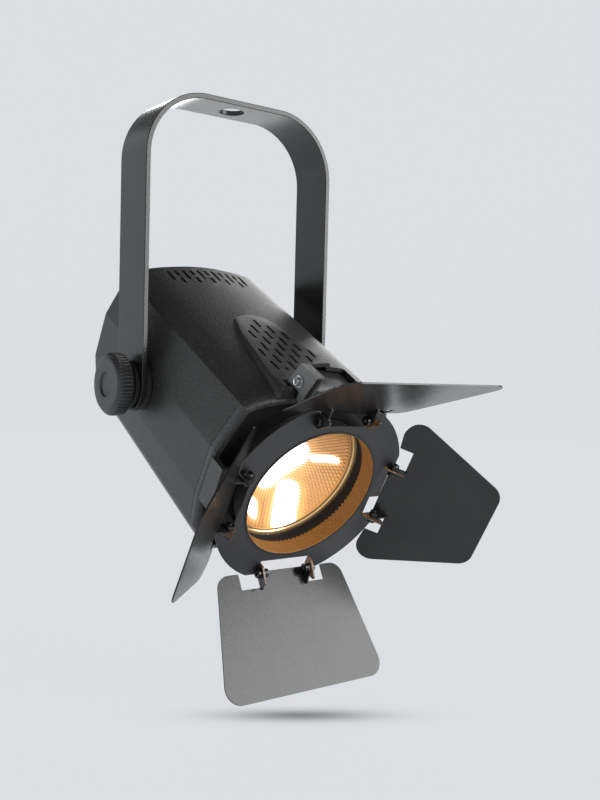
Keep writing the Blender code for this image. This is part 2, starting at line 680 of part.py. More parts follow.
def make_electronics():
    """Driver board on its bracket below the rear of the housing, with its main components."""
    bracket = object_from_mesh("driver_bracket", beam_box((-36.0, -56.0, -36.5), (36.0, -4.0, -35.3)))
    finish_piece(bracket, SHEET, BEAM)
    feet = [beam_box((x, -56.0, BOTTOM + WALL + GAP), (x + 1.2, -4.0, -36.0)) for x in (-36.0, 34.8)]
    combine(bracket, [merged_mesh(feet)], "UNION")
    board = object_from_mesh("driver_board", beam_box((-34.0, -55.0, -35.0), (34.0, -5.0, -33.4)))
    finish_piece(board, BOARD, BEAM)
    tall = [((-30.0, -44.0, -33.6), (-10.0, -32.0, -24.0)), ((2.0, -44.5, -33.6), (14.0, -32.0, -25.0)),
            ((20.0, -48.0, -33.6), (31.0, -38.0, -24.0)), ((-28.0, -22.0, -33.6), (-4.0, -14.0, -30.0)),
            ((8.0, -24.0, -33.6), (30.0, -10.0, -30.0))]
    combine(board, [merged_mesh([beam_box(low, high) for low, high in tall])], "UNION")


# ---------------------------------------------------------------- rear panel and its controls

def make_rear_panel():
    rear, front = PANEL
    inlet = [(-14.2, -29.2), (14.2, -29.2), (14.2, -8.8), (-14.2, -8.8)]
    window = [(-16.2, 22.8), (16.2, 22.8), (16.2, 37.2), (-16.2, 37.2)]
    holes = [inlet, window]
    holes += [arc((x, SOCKET_U), 9.7, 0, 345, 23) for _, x in SOCKETS]
    holes += [arc((button_x(i), BUTTON_U), 3.3, 0, 330, 11) for i in range(len(BUTTONS))]
    outer = section_at(rear, WALL + GAP)
    beam_plate("rear_panel", [outer] + holes, rear, front, SHEET)
    make_inlet()
    for name, x in SOCKETS:
        make_data_socket(name, x)
    display = [(-15.9, 23.1), (15.9, 23.1), (15.9, 36.9), (-15.9, 36.9)]
    beam_plate("display_window", [display], -63.6, -58.0, SCREEN)
    for i, name in enumerate(BUTTONS):
        cap = [(0, 0), (2.6, 0), (3.0, 0.4), (3.0, 3.6), (3.9, 3.6), (3.9, 4.8), (0, 4.8)]
        at = beam_point(button_x(i), -64.6, BUTTON_U)
        place = Matrix.Translation(at) @ axis_to((0, -1, 0))
        turned("button_" + name, cap, 16, place, BUTTON_RUBBER, BEAM)
    make_safety_loop()


def button_x(index):
    return (index - (len(BUTTONS) - 1) / 2) * BUTTON_PITCH


def make_inlet():
    """Three-pin power inlet: a flanged socket with an open mouth to the rear and three pins."""
    flange = [(-16.0, -31.0), (16.0, -31.0), (16.0, -7.0), (-16.0, -7.0)]
    inlet = beam_plate("power_inlet", [flange], -65.4, PANEL[0] - GAP, PLASTIC)
    body = beam_box((-13.8, -64.6, -28.8), (13.8, -46.0, -9.2))
    combine(inlet, [body], "UNION")
    mouth = beam_box((-12.0, -70.0, -27.0), (12.0, -49.0, -11.0))
    combine(inlet, [mouth], "DIFFERENCE")
    pins = [beam_box((x - 1.0, -61.0, u - 2.0), (x + 1.0, -48.0, u + 2.0))
            for x, u in ((-7.0, -17.0), (0.0, -21.0), (7.0, -17.0))]
    combine(inlet, [merged_mesh(pins)], "UNION")


def make_data_socket(name, x):
    """Round three-pin data socket in a flanged barrel."""
    at = Matrix.Translation(beam_point(x, 0, SOCKET_U)) @ axis_to((0, -1, 0))
    barrel = [(0, -50.0), (7.6, -50.0), (7.6, -65.2), (11.2, -65.2), (12.0, -64.9), (12.0, -63.7),
              (9.4, -63.7), (9.4, -48.0), (0, -48.0)]
    turned(name, barrel, 24, at, PLASTIC, BEAM)
    socket = bpy.data.objects[name]
    pins = []
    for angle in (90, 210, 330):
        a = math.radians(angle)
        pin = [(0, -49.5), (1.0, -49.5), (1.0, -60.5), (0.6, -61.0), (0, -61.0)]
        place = Matrix.Translation(beam_point(x + 4.0 * math.cos(a), 0, SOCKET_U + 4.0 * math.sin(a)))
        pins.append(turned_mesh(pin, 8, place @ axis_to((0, -1, 0))))
    combine(socket, [merged_mesh(pins)], "UNION")


def make_safety_loop():
    """Wire loop for a safety cable, welded to a small foot under the rear sockets."""
    curve = bpy.data.curves.new("loop", "CURVE")
    curve.dimensions = "3D"
    curve.bevel_depth = mm(1.6)
    curve.bevel_resolution = 2
    curve.use_fill_caps = True
    points = [(-7.0, -65.0)] + [(x, d) for x, d in arc((0, -70.0), 7.0, 180, 360, 8)] + [(7.0, -65.0)]
    spline = curve.splines.new("POLY")
    spline.points.add(len(points) - 1)
    for point, (x, d) in zip(spline.points, points):
        point.co = (*beam_point(x, d, -36.0), 1)
    holder = object_from_mesh("loop", curve, CUTTERS)
    bpy.context.view_layer.update()
    evaluated = holder.evaluated_get(bpy.context.evaluated_depsgraph_get())
    mesh = bpy.data.meshes.new_from_object(evaluated)
    bpy.data.objects.remove(holder, do_unlink=True)
    weld = bmesh.new()
    weld.from_mesh(mesh)
    bmesh.ops.remove_doubles(weld, verts=weld.verts, dist=1e-6)
    bmesh.ops.recalc_face_normals(weld, faces=weld.faces)
    weld.to_mesh(mesh)
    weld.free()
    foot = [(-12.0, -37.6), (12.0, -37.6), (12.0, -33.6), (-12.0, -33.6)]
    loop = beam_plate("safety_loop", [foot], -65.6, PANEL[0] - GAP, STEEL)
    combine(loop, [mesh], "UNION")


# ---------------------------------------------------------------- accessory frame and barn doors

def make_accessory_frame():
    """Round carrier that slides into the side channels and holds the barn-door ring."""
    ring = []
    for start, sign in ((0, 1), (180, -1)):
        ear = [(sign * 54.8, sign * -9.5), (sign * 54.8, sign * 9.5)]
        ring += ear + arc((0, 0), 47.0, start + 16, start + 164, 16)
    beam_plate("accessory_frame", [ring, arc((0, 0), 41.4, 0, 350, 35)], 90.6, 91.8)


def plate_outline():
    """Ring plate with four round lobes and a hinge notch on each side between them."""
    quarter = []
    lobe = math.degrees(math.asin(24.0 / PLATE_RADIUS))
    notch = EAR_T[0] + 0.2
    quarter += [(notch, 44.0), (notch, 53.0), (24.0, 53.0)]
    quarter += arc((0, 0), PLATE_RADIUS, 90 - lobe, lobe, 12)[1:-1]
    quarter += [(53.0, 24.0), (53.0, notch), (44.0, notch)]
    points = []
    for turn in range(4):
        angle = -turn * math.pi / 2
        c, s = math.cos(angle), math.sin(angle)
        points += [(x * c - y * s, x * s + y * c) for x, y in quarter]
    return points


def hinge_turn(index):
    """Rotation about the beam that takes the bottom hinge to hinge number index."""
    return Matrix.Rotation(-index * math.pi / 2, 4, "Y")


def ear_mesh(index, sign):
    """One ear of the ring plate, bent forward, with its screw hole."""
    rear, tip = PLATE_FRONT - PLATE_THICK, 116.5
    outline = [(rear, 45.0, 0), (rear, 53.0, 0), (108.5, 53.4, 1.0), (tip, 53.0, 1.0), (108.0, 45.0, 1.5)]
    points = [(-d, -r) for d, r in rounded_outline(outline, 2)]
    hole = arc((-HINGE_D, -HINGE_RADIUS), 1.35, 0, 315, 7)
    middle = sign * (EAR_T[0] + EAR_T[1]) / 2
    place = hinge_turn(index) @ Matrix.Translation((mm(middle), 0, 0)) @ YZ_PLANE
    return outline_mesh([points, hole], EAR_T[1] - EAR_T[0], place)


def make_barn_ring(ring_frame):
    """The rotating ring: tube with a rear flange, lobed plate and eight hinge ears."""
    place = Matrix.Translation(beam_point(0, PLATE_FRONT - PLATE_THICK / 2, 0)) @ XZ_PLANE
    opening = arc((0, 0), (TUBE_INNER + TUBE_OUTER) / 2, 0, 350, 35)
    ring = object_from_mesh("barn_door_ring", outline_mesh([plate_outline(), opening], PLATE_THICK, place))
    finish_piece(ring, SHEET, ring_frame)
    tube = [(TUBE_INNER, PLATE_FRONT + 0.3), (TUBE_OUTER, PLATE_FRONT + 0.3), (TUBE_OUTER, 90.2),
            (43.6, 90.2), (43.6, 89.2), (TUBE_INNER, 89.2)]
    combine(ring, [turned_mesh(tube, 36, BEAM_AXIS, closed=True)], "UNION")
    for sign in (-1, 1):
        ears = [ear_mesh(index, sign) for index in range(4)]
        combine(ring, [merged_mesh(ears)], "UNION")


def leaf_outline(shape):
    """A leaf in its own frame: (x along the hinge, s out from the hinge axis)."""
    start, end = shape["start"], shape["end"]
    hinge, outer = shape["hinge"] / 2, shape["outer"] / 2
    right = [(NOTCH_T[0], start, 0), (NOTCH_T[0], NOTCH_END, 0), (NOTCH_T[1], NOTCH_END, 0),
             (NOTCH_T[1], start, 0), (hinge, start - shape["sweep"], shape["corner"]),
             (outer, end, END_CORNER)]
    left = [(-x, s, radius) for x, s, radius in right[::-1]]
    return rounded_outline(right + left, 4)


def make_leaf(index, ring_frame):
    """A barn-door leaf hinged on the ring, with two bent tabs, and its two hinge screws."""
    name = LEAF_NAMES[index]
    shape = FLARED_LEAF if index % 2 == 0 else TAPERED_LEAF
    around = make_frame("hinge_" + name, ring_frame, rotation=(0, -index * math.pi / 2, 0))
    pivot = make_frame("swing_" + name, around, (0, -HINGE_D, -HINGE_RADIUS),
                       (math.radians(LEAF_OPEN[index]), 0, 0))
    sheet = Matrix.Translation((0, 0, mm(-LEAF_OFFSET))) @ Matrix.Diagonal((1, -1, 1, 1))
    leaf = object_from_mesh(name, outline_mesh([leaf_outline(shape)], LEAF_SHEET, sheet))
    finish_piece(leaf, SHEET, pivot)
    foot = -LEAF_OFFSET - LEAF_SHEET / 2
    tab = [(0.8, foot, 0), (0.8, foot + 2.0, 0), (2.8, 0.6, 1.5), (0.5, 2.9, 2.0), (-3.0, 1.5, 2.0),
           (-8.4, foot + 1.2, 0.5), (-8.4, foot, 0)]
    hole = arc((0, 0), 1.35, 0, 315, 7)
    for sign in (-1, 1):
        middle = sign * (TAB_T[0] + TAB_T[1]) / 2
        place = Matrix.Translation((mm(middle), 0, 0)) @ YZ_PLANE
        combine(leaf, [outline_mesh([rounded_outline(tab, 2), hole], TAB_T[1] - TAB_T[0], place)], "UNION")
        side = "a" if sign < 0 else "b"
        head, nut = EAR_T[1] + GAP, TAB_T[0] - GAP
        screw = [(0, head + 1.7), (1.6, head + 1.6), (2.3, head + 0.7), (2.3, head), (1.05, head),
                 (1.05, nut), (2.4, nut), (2.4, nut - 1.8), (1.05, nut - 1.8), (1.05, nut - 3.2),
                 (0, nut - 3.2)]
        place = axis_to((sign, 0, 0), (0, -HINGE_D, -HINGE_RADIUS))
        turned(f"hinge_screw_{name[5:]}_{side}", screw, 8, place, BLACK_STEEL, around)


# ---------------------------------------------------------------- the whole part

make_yoke()
for side_name, side_sign in SIDES:
    make_tilt_clamp(side_name, side_sign)
make_shell()
make_bezel()
make_latch()
make_slot_lid()
make_light_engine()
make_fan()
make_electronics()
make_rear_panel()
make_accessory_frame()
RING = make_frame("ring_axis", BEAM, rotation=(0, RING_TURN, 0))
make_barn_ring(RING)
for leaf_index in range(4):
    make_leaf(leaf_index, RING)
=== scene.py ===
"""Looks of the small LED stage light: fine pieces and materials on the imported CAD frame.

Lengths are written in millimetres in the beam frame (x right, d forward, u up) or in the
part's frame, and turned into metres by mm()."""
import json
import math

import bmesh
import bpy
from mathutils import Matrix, Vector


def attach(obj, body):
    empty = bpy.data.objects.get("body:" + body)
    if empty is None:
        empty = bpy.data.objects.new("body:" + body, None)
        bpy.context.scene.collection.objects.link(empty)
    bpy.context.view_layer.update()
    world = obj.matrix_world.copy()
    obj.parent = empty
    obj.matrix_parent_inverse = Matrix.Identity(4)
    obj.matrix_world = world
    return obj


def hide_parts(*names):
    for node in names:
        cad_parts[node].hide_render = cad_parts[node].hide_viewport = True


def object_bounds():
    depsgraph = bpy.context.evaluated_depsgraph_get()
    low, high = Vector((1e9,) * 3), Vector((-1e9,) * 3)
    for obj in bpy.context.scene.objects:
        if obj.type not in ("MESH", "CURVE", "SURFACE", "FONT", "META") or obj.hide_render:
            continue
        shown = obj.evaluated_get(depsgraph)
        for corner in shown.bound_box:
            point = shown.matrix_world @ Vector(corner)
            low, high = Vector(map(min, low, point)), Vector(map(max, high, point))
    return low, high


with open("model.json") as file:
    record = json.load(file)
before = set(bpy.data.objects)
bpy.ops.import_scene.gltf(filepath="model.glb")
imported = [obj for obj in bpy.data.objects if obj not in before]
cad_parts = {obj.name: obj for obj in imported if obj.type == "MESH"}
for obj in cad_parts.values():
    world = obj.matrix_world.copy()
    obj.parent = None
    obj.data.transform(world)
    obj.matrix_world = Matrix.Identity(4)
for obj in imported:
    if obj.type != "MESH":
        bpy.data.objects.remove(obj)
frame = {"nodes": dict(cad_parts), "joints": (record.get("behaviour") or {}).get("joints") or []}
CAD_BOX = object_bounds()
JOINTS = {joint["name"]: joint for joint in frame["joints"]}
SCENE = bpy.context.scene

# ---------------------------------------------------------------- dimensions in millimetres and degrees
YOKE_WIDTH = 130.0
YOKE_BAR = 3.0
YOKE_DEPTH = 31.0
YOKE_BEND = 39.0
TILT_DROP = -1000.0 * JOINTS["housing_tilt"]["pos_m"][2]
HANG_HOLE = 15.0
KNOB_END = 15.1
RIB_DEPTH = 0.9
RIBS = 50
RIB_SHAPE = (0.0, 0.0, 0.08, 0.75, 1.0, 0.75)      # share of the groove depth across one rib
BEAM_DROP = 6.5
REAR = -64.0
SHELL_FRONT = 81.5
RIM = 87.5
WALL = 2.5
GAP = 0.3
CREASE = (49.0, 45.1)
CROWN_CURVE = ((0.0, 0.0), (10.0, 0.035), (19.0, 0.126), (28.0, 0.24), (35.5, 0.388), (41.0, 0.58),
               (45.0, 0.777), (49.0, 1.0))
CROWN_REAR = 55.4
CROWN_FRONT = 52.8
BOTTOM = -47.5
SCOOP_TOP = 54.6
SLOT_WIDTH = 2.0
VENT_COLUMNS = 3                # on each side of the middle one
VENT_COLUMN_PITCH = 5.7
VENT_ROWS = 5
VENT_ROW_PITCH = 13.9
VENT_LENGTH = 9.3
VENT_FIRST = 5.8
VENT_SHORTEST = 2.6
VENT_STARTS = {2: 19.7, 3: 33.6}         # where the outer columns begin, by column
REAR_VENTS = 11
REAR_VENT_PITCH = 5.25
REAR_VENT_LONG = ((-59.0, -46.5),)
REAR_VENT_SHORT = ((-59.0, -52.0), (-49.5, -42.2))
POCKET = ((1.0, 61.0), (5.5, 57.5), (37.5, 54.0), (36.0, 79.0), (1.0, 79.0))
PLATE_FRONT = 104.6
PLATE_THICK = 1.0
PLATE_RADIUS = 58.2
TUBE_INNER = 39.9
TUBE_OUTER = 40.9
HINGE_RADIUS = 49.7
HINGE_D = 107.8
LEAF_OFFSET = 4.7
LEAF_SHEET = 0.8
LEAF_NAMES = ("leaf_bottom", "leaf_right", "leaf_top", "leaf_left")
LEAF_OPEN = (32.9, 46.4, 43.6, 48.1)
RING_TURN = 0.8
FLARED_LEAF = dict(hinge=84.0, outer=108.8, start=-2.0, sweep=0.0, end=65.5, corner=8.0)
TAPERED_LEAF = dict(hinge=103.6, outer=49.7, start=-1.2, sweep=2.8, end=62.4, corner=9.0)
END_CORNER = 9.0
EAR_T = (16.4, 17.4)
TAB_T = (15.0, 16.0)
NOTCH_T = (15.0, 28.5)
NOTCH_END = 7.0
LATCH_X = -17.25
LATCH_D = 86.2
LATCH_U = 60.2
LATCH_HALF = 2.75
ROUND_STEPS = 120               # around the lamp's large turned parts
TUBE_TEETH = 90
TUBE_LIT_FROM = 93.9            # the lit part of the tube's wall starts here along the beam
TOOTH_LENGTH = 1.6
BAFFLE_D = 79.0
BAFFLE_THICK = 1.5
DIMPLES_ROUND = 92
DIMPLE_ROWS = 26
DIMPLE_DEPTH = 0.45
FLAT_EDGE_ANGLE = math.radians(0.5)
SIDES = (("left", -1), ("right", 1))


def mm(value):
    return value * 0.001


BEAM_AXIS_WORLD = Vector(JOINTS["ring_turn"]["axis"])
TILT = math.asin(-BEAM_AXIS_WORLD.z)
TILT_FRAME = Matrix.Translation((0, 0, -mm(TILT_DROP))) @ Matrix.Rotation(TILT, 4, "X")
BEAM = TILT_FRAME @ Matrix.Translation((0, 0, -mm(BEAM_DROP)))
RING = BEAM @ Matrix.Rotation(math.radians(RING_TURN), 4, "Y")
XZ_PLANE = Matrix(((1, 0, 0, 0), (0, 0, -1, 0), (0, 1, 0, 0), (0, 0, 0, 1)))
YZ_PLANE = Matrix(((0, 0, 1, 0), (1, 0, 0, 0), (0, 1, 0, 0), (0, 0, 0, 1)))
FLIP_Y = Matrix.Diagonal((1, -1, 1, 1))


def beam_point(x, d, u):
    return Vector((mm(x), mm(-d), mm(u)))


# ---------------------------------------------------------------- materials

def shader_of(name):
    material = bpy.data.materials.new(name)
    material.use_nodes = True
    nodes = material.node_tree.nodes
    return material, nodes, material.node_tree.links, nodes["Principled BSDF"]


def noise(nodes, links, scale, detail=3.0, rough=0.55):
    """Noise in object space; scale is in features per metre."""
    place = nodes.new("ShaderNodeTexCoord")
    texture = nodes.new("ShaderNodeTexNoise")
    texture.inputs["Scale"].default_value = scale
    texture.inputs["Detail"].default_value = detail
    texture.inputs["Roughness"].default_value = rough
    links.new(place.outputs["Object"], texture.inputs["Vector"])
    return texture.outputs["Fac"]


def remap(nodes, links, value, low, high, from_low=0.3, from_high=0.7):
    node = nodes.new("ShaderNodeMapRange")
    node.inputs["From Min"].default_value = from_low
    node.inputs["From Max"].default_value = from_high
    node.inputs["To Min"].default_value = low
    node.inputs["To Max"].default_value = high
    links.new(value, node.inputs["Value"])
    return node.outputs["Result"]


def tint(nodes, links, value, dark, light):
    ramp = nodes.new("ShaderNodeValToRGB")
    ramp.color_ramp.elements[0].position = 0.3
    ramp.color_ramp.elements[1].position = 0.7
    ramp.color_ramp.elements[0].color = (*dark, 1)
    ramp.color_ramp.elements[1].color = (*light, 1)
    links.new(value, ramp.inputs["Fac"])
    return ramp.outputs["Color"]


def coated(name, dark, light, rough, grain, grain_depth, mottle=60.0, metallic=0.0, coat=0.0):
    """Paint, plastic or metal with a fine grain, soft mottling and uneven gloss."""
    material, nodes, links, shader = shader_of(name)
    fine = noise(nodes, links, grain, 2.0)
    broad = noise(nodes, links, mottle, 4.0)
    blend = nodes.new("ShaderNodeMix")
    blend.inputs["Factor"].default_value = 0.5
    links.new(fine, blend.inputs["A"])
    links.new(broad, blend.inputs["B"])
    links.new(tint(nodes, links, blend.outputs["Result"], dark, light), shader.inputs["Base Color"])
    links.new(remap(nodes, links, broad, rough[0], rough[1]), shader.inputs["Roughness"])
    bump = nodes.new("ShaderNodeBump")
    bump.inputs["Strength"].default_value = 1.0
    bump.inputs["Distance"].default_value = mm(grain_depth)
    links.new(fine, bump.inputs["Height"])
    links.new(bump.outputs["Normal"], shader.inputs["Normal"])
    shader.inputs["Metallic"].default_value = metallic
    shader.inputs["Coat Weight"].default_value = coat
    return material


def glowing(name, colour, strength, dark, light, rough=(0.4, 0.6), grain=900.0, metallic=0.0):
    """A surface lit from inside the lamp: a grained base and an even glow."""
    material = coated(name, dark, light, rough, grain, 0.08, metallic=metallic)
    shader = material.node_tree.nodes["Principled BSDF"]
    shader.inputs["Emission Color"].default_value = (*colour, 1)
    shader.inputs["Emission Strength"].default_value = strength
    return material


def lit_tube_material():
    """Amber light on the tube's inner wall, in grains."""
    material, nodes, links, shader = shader_of("tube_wall_lit")
    grain = noise(nodes, links, 1500.0, 4.0, 0.8)
    colour = tint(nodes, links, grain, (0.12, 0.043, 0.006), (0.52, 0.235, 0.05))
    links.new(colour, shader.inputs["Emission Color"])
    links.new(colour, shader.inputs["Base Color"])
    shader.inputs["Emission Strength"].default_value = 0.13
    shader.inputs["Roughness"].default_value = 0.45
    bump = nodes.new("ShaderNodeBump")
    bump.inputs["Distance"].default_value = mm(0.2)
    links.new(grain, bump.inputs["Height"])
    links.new(bump.outputs["Normal"], shader.inputs["Normal"])
    return material


# White reflections of the light source in the bowl: capsules (end, end, radius) in (x, d, u)
HOT_SPOTS = (
    ((5.0, 56.0, -19.0), (20.0, 58.0, -4.0), 6.6),
    ((16.5, 68.0, -25.0), (8.0, 83.0, -37.0), 4.7),
    ((28.0, 66.0, -4.0), (36.0, 77.0, 2.0), 2.0),
    ((-7.5, 69.0, -31.0), (-10.5, 75.0, -34.0), 2.6),
)
GLINT_FROM = Vector((-0.35, -0.40, 0.85))       # facets turned this way are the brightest


def vector_math(nodes, links, operation, first, second=None):
    node = nodes.new("ShaderNodeVectorMath")
    node.operation = operation
    for socket, value in zip(node.inputs, (first, second)):
        if isinstance(value, Vector):
            socket.default_value = value
        elif value is not None:
            links.new(value, socket)
    return node.outputs["Value"] if operation in ("DOT_PRODUCT", "LENGTH") else node.outputs["Vector"]


def plain_math(nodes, links, operation, first, second, clamp=False):
    node = nodes.new("ShaderNodeMath")
    node.operation = operation
    node.use_clamp = clamp
    for socket, value in zip(node.inputs, (first, second)):
        if isinstance(value, (int, float)):
            socket.default_value = value
        else:
            links.new(value, socket)
    return node.outputs["Value"]


def capsule_gap(nodes, links, place, start, end, radius):
    """Distance to a capsule's axis, as a share of its radius."""
    a, b = BEAM @ beam_point(*start), BEAM @ beam_point(*end)
    span = b - a
    offset = vector_math(nodes, links, "SUBTRACT", place, a)
    share = plain_math(nodes, links, "DIVIDE", vector_math(nodes, links, "DOT_PRODUCT", offset, span),
                       span.length_squared, clamp=True)
    along = nodes.new("ShaderNodeVectorMath")
    along.operation = "SCALE"
    along.inputs[0].default_value = span
    links.new(share, along.inputs["Scale"])
    gap = vector_math(nodes, links, "SUBTRACT", offset, along.outputs["Vector"])
    return plain_math(nodes, links, "DIVIDE", vector_math(nodes, links, "LENGTH", gap), mm(radius))


def reflector_material():
    """Amber-lit bright facets, white where the light source is mirrored in them."""
    material, nodes, links, shader = shader_of("reflector_lit")
    place = nodes.new("ShaderNodeTexCoord").outputs["Object"]
    nearest = None
    for start, end, radius in HOT_SPOTS:
        gap = capsule_gap(nodes, links, place, start, end, radius)
        nearest = gap if nearest is None else plain_math(nodes, links, "MINIMUM", nearest, gap)
    facing = vector_math(nodes, links, "DOT_PRODUCT", nodes.new("ShaderNodeNewGeometry").outputs["Normal"],
                         GLINT_FROM)
    sparkle = remap(nodes, links, facing, 0.58, 2.15, -0.2, 1.0)
    shift = remap(nodes, links, facing, -0.4, 0.4, -0.2, 1.0)
    speckled = plain_math(nodes, links, "SUBTRACT", nearest, shift)
    ramp = nodes.new("ShaderNodeValToRGB")
    ramp.color_ramp.elements[0].position = 0.36
    ramp.color_ramp.elements[0].color = (1.0, 0.97, 0.92, 1)
    ramp.color_ramp.elements[1].position = 0.85
    ramp.color_ramp.elements[1].color = (0.42, 0.185, 0.045, 1)
    middle = ramp.color_ramp.elements.new(0.48)
    middle.color = (0.80, 0.38, 0.10, 1)
    links.new(plain_math(nodes, links, "DIVIDE", speckled, 3.0), ramp.inputs["Fac"])
    links.new(ramp.outputs["Color"], shader.inputs["Emission Color"])
    hot = remap(nodes, links, speckled, 1.7, -0.1, 0.9, 1.3)
    links.new(plain_math(nodes, links, "ADD", sparkle, hot), shader.inputs["Emission Strength"])
    shader.inputs["Base Color"].default_value = (0.62, 0.40, 0.20, 1)
    shader.inputs["Metallic"].default_value = 1.0
    shader.inputs["Roughness"].default_value = 0.22
    return material


def lit_ear_material():
    """Dark steel with the lamp's amber light on the faces turned to the beam."""
    material, nodes, links, shader = shader_of("ear_steel_lit")
    place = nodes.new("ShaderNodeTexCoord").outputs["Object"]
    lamp = BEAM @ beam_point(0, 100.0, 0)
    inward = nodes.new("ShaderNodeVectorMath")
    inward.operation = "NORMALIZE"
    links.new(vector_math(nodes, links, "SUBTRACT", place, lamp), inward.inputs[0])
    facing = vector_math(nodes, links, "DOT_PRODUCT", inward.outputs["Vector"],
                         nodes.new("ShaderNodeNewGeometry").outputs["Normal"])
    grain = noise(nodes, links, 900.0, 4.0, 0.75)
    lit = plain_math(nodes, links, "MULTIPLY", remap(nodes, links, facing, 0.8, 0.0, -0.7, -0.15),
                     remap(nodes, links, grain, 0.1, 1.0, 0.45, 0.65))
    links.new(lit, shader.inputs["Emission Strength"])
    shader.inputs["Emission Color"].default_value = (0.62, 0.27, 0.06, 1)
    links.new(tint(nodes, links, grain, (0.02, 0.02, 0.02), (0.05, 0.05, 0.05)), shader.inputs["Base Color"])
    shader.inputs["Roughness"].default_value = 0.3
    return material


def glass_material():
    material, _, _, shader = shader_of("front_glass_clear")
    shader.inputs["Base Color"].default_value = (1, 1, 1, 1)
    shader.inputs["Roughness"].default_value = 0.03
    shader.inputs["Alpha"].default_value = 0.06
    shader.inputs["IOR"].default_value = 1.5
    return material


POWDER = coated("powder_coat_black", (0.006, 0.006, 0.006), (0.052, 0.052, 0.052), (0.42, 0.52), 900.0, 0.30,
                800.0)
# Painted highlight: the bezel is the housing's powder coat drawn lighter, standing in for the light its front
# lip catches; it is also a little glossier.
BEZEL_HIGHLIGHT_COAT = coated("powder_coat_bezel_painted_highlight", (0.012, 0.012, 0.012), (0.070, 0.070, 0.070), (0.32, 0.42), 900.0,
                    0.25, 800.0)
YOKE_PAINT = coated("yoke_paint", (0.010, 0.010, 0.010), (0.020, 0.020, 0.020), (0.22, 0.25), 1500.0, 0.05)
LEAF_PAINT = coated("leaf_paint", (0.010, 0.010, 0.010), (0.020, 0.020, 0.020), (0.22, 0.25), 1800.0, 0.04)
# The latch is drawn a much lighter grey than the other black sheet metal, so it looks brighter.
LATCH_LIGHT_GREY = coated("latch_light_grey", (0.11, 0.11, 0.11), (0.22, 0.22, 0.22), (0.40, 0.50), 1100.0, 0.15, 800.0)
SHEET = coated("sheet_black", (0.018, 0.018, 0.019), (0.034, 0.034, 0.035), (0.34, 0.50), 1800.0, 0.05)
INSIDE = coated("inside_black", (0.010, 0.009, 0.009), (0.018, 0.016, 0.015), (0.55, 0.70), 1200.0, 0.08)
LID_GREY = coated("lid_grey", (0.020, 0.020, 0.020), (0.040, 0.040, 0.040), (0.42, 0.55), 1600.0, 0.05)
KNOB_PLASTIC = coated("knob_satin_plastic", (0.022, 0.022, 0.023), (0.038, 0.038, 0.040), (0.34, 0.48),
                      1300.0, 0.09)
RUBBER = coated("rubber_matte", (0.012, 0.012, 0.012), (0.024, 0.024, 0.024), (0.68, 0.82), 1500.0, 0.06)
ZINC = coated("zinc_plated", (0.46, 0.46, 0.47), (0.62, 0.62, 0.63), (0.22, 0.36), 800.0, 0.02, metallic=1.0)
BLACK_STEEL = coated("blackened_steel", (0.035, 0.034, 0.034), (0.085, 0.082, 0.080), (0.20, 0.34), 900.0,
                     0.02, metallic=0.9)
GOLD = glowing("ring_gold_lit", (1.0, 0.55, 0.16), 0.12, (0.80, 0.50, 0.18), (0.95, 0.66, 0.30),
               (0.16, 0.26), 600.0, 1.0)
ALUMINIUM = coated("extruded_aluminium", (0.48, 0.48, 0.50), (0.62, 0.62, 0.64), (0.34, 0.46), 700.0, 0.03,
                   metallic=1.0)
PLASTIC = coated("moulded_plastic", (0.018, 0.018, 0.019), (0.030, 0.030, 0.032), (0.38, 0.52), 1400.0, 0.05)
BUTTON = coated("button_silicone", (0.15, 0.15, 0.16), (0.21, 0.21, 0.22), (0.50, 0.62), 1200.0, 0.04)
CIRCUIT = coated("circuit_green", (0.018, 0.10, 0.045), (0.03, 0.15, 0.07), (0.35, 0.5), 900.0, 0.05)
WHITE_CIRCUIT = coated("circuit_white", (0.70, 0.69, 0.66), (0.82, 0.81, 0.78), (0.4, 0.5), 900.0, 0.03)
SCREEN = coated("display_glass", (0.010, 0.014, 0.022), (0.016, 0.022, 0.034), (0.06, 0.10), 300.0, 0.0,
                coat=0.6)
PHOSPHOR = glowing("emitter_lit", (1.0, 0.80, 0.45), 4.0, (0.9, 0.7, 0.3), (1.0, 0.8, 0.4))
TUBE_LIT = lit_tube_material()
EAR_LIT = lit_ear_material()
REFLECTOR = reflector_material()
GLASS = glass_material()


# ---------------------------------------------------------------- mesh helpers

def new_object(name, mesh):
    piece = bpy.data.objects.new(name, mesh)
    SCENE.collection.objects.link(piece)
    return piece


def placed(mesh, matrix):
    """The mesh moved by a matrix, its faces turned outwards."""
    work = bmesh.new()
    work.from_mesh(mesh)
    bmesh.ops.remove_doubles(work, verts=work.verts, dist=1e-6)
    work.transform(matrix)
    work.normal_update()
    bmesh.ops.recalc_face_normals(work, faces=work.faces)
    work.to_mesh(mesh)
    work.free()
    return mesh


def join_rings(work, rings, closed=False):
    """Faces between neighbouring rings; a ring of one vertex is a pole."""
    pairs = list(zip(rings, rings[1:]))
    if closed:
        pairs.append((rings[-1], rings[0]))
    for a, b in pairs:
        steps = max(len(a), len(b))
        for i in range(steps):
            k = (i + 1) % steps
            corners = list(dict.fromkeys([a[i % len(a)], a[k % len(a)], b[k % len(b)], b[i % len(b)]]))
            if len(corners) > 2:
                work.faces.new(corners)


def finished(work, name, matrix):
    """The bmesh as a new mesh, placed by a matrix."""
    mesh = bpy.data.meshes.new(name)
    work.to_mesh(mesh)
    work.free()
    return placed(mesh, matrix)


def arc(centre, radius, start, end, count):
    angles = [math.radians(start + (end - start) * i / count) for i in range(count + 1)]
    return [(centre[0] + radius * math.cos(a), centre[1] + radius * math.sin(a)) for a in angles]


def circle(centre, radius, count=32):
    return arc(centre, radius, 0, 360, count)[:-1]


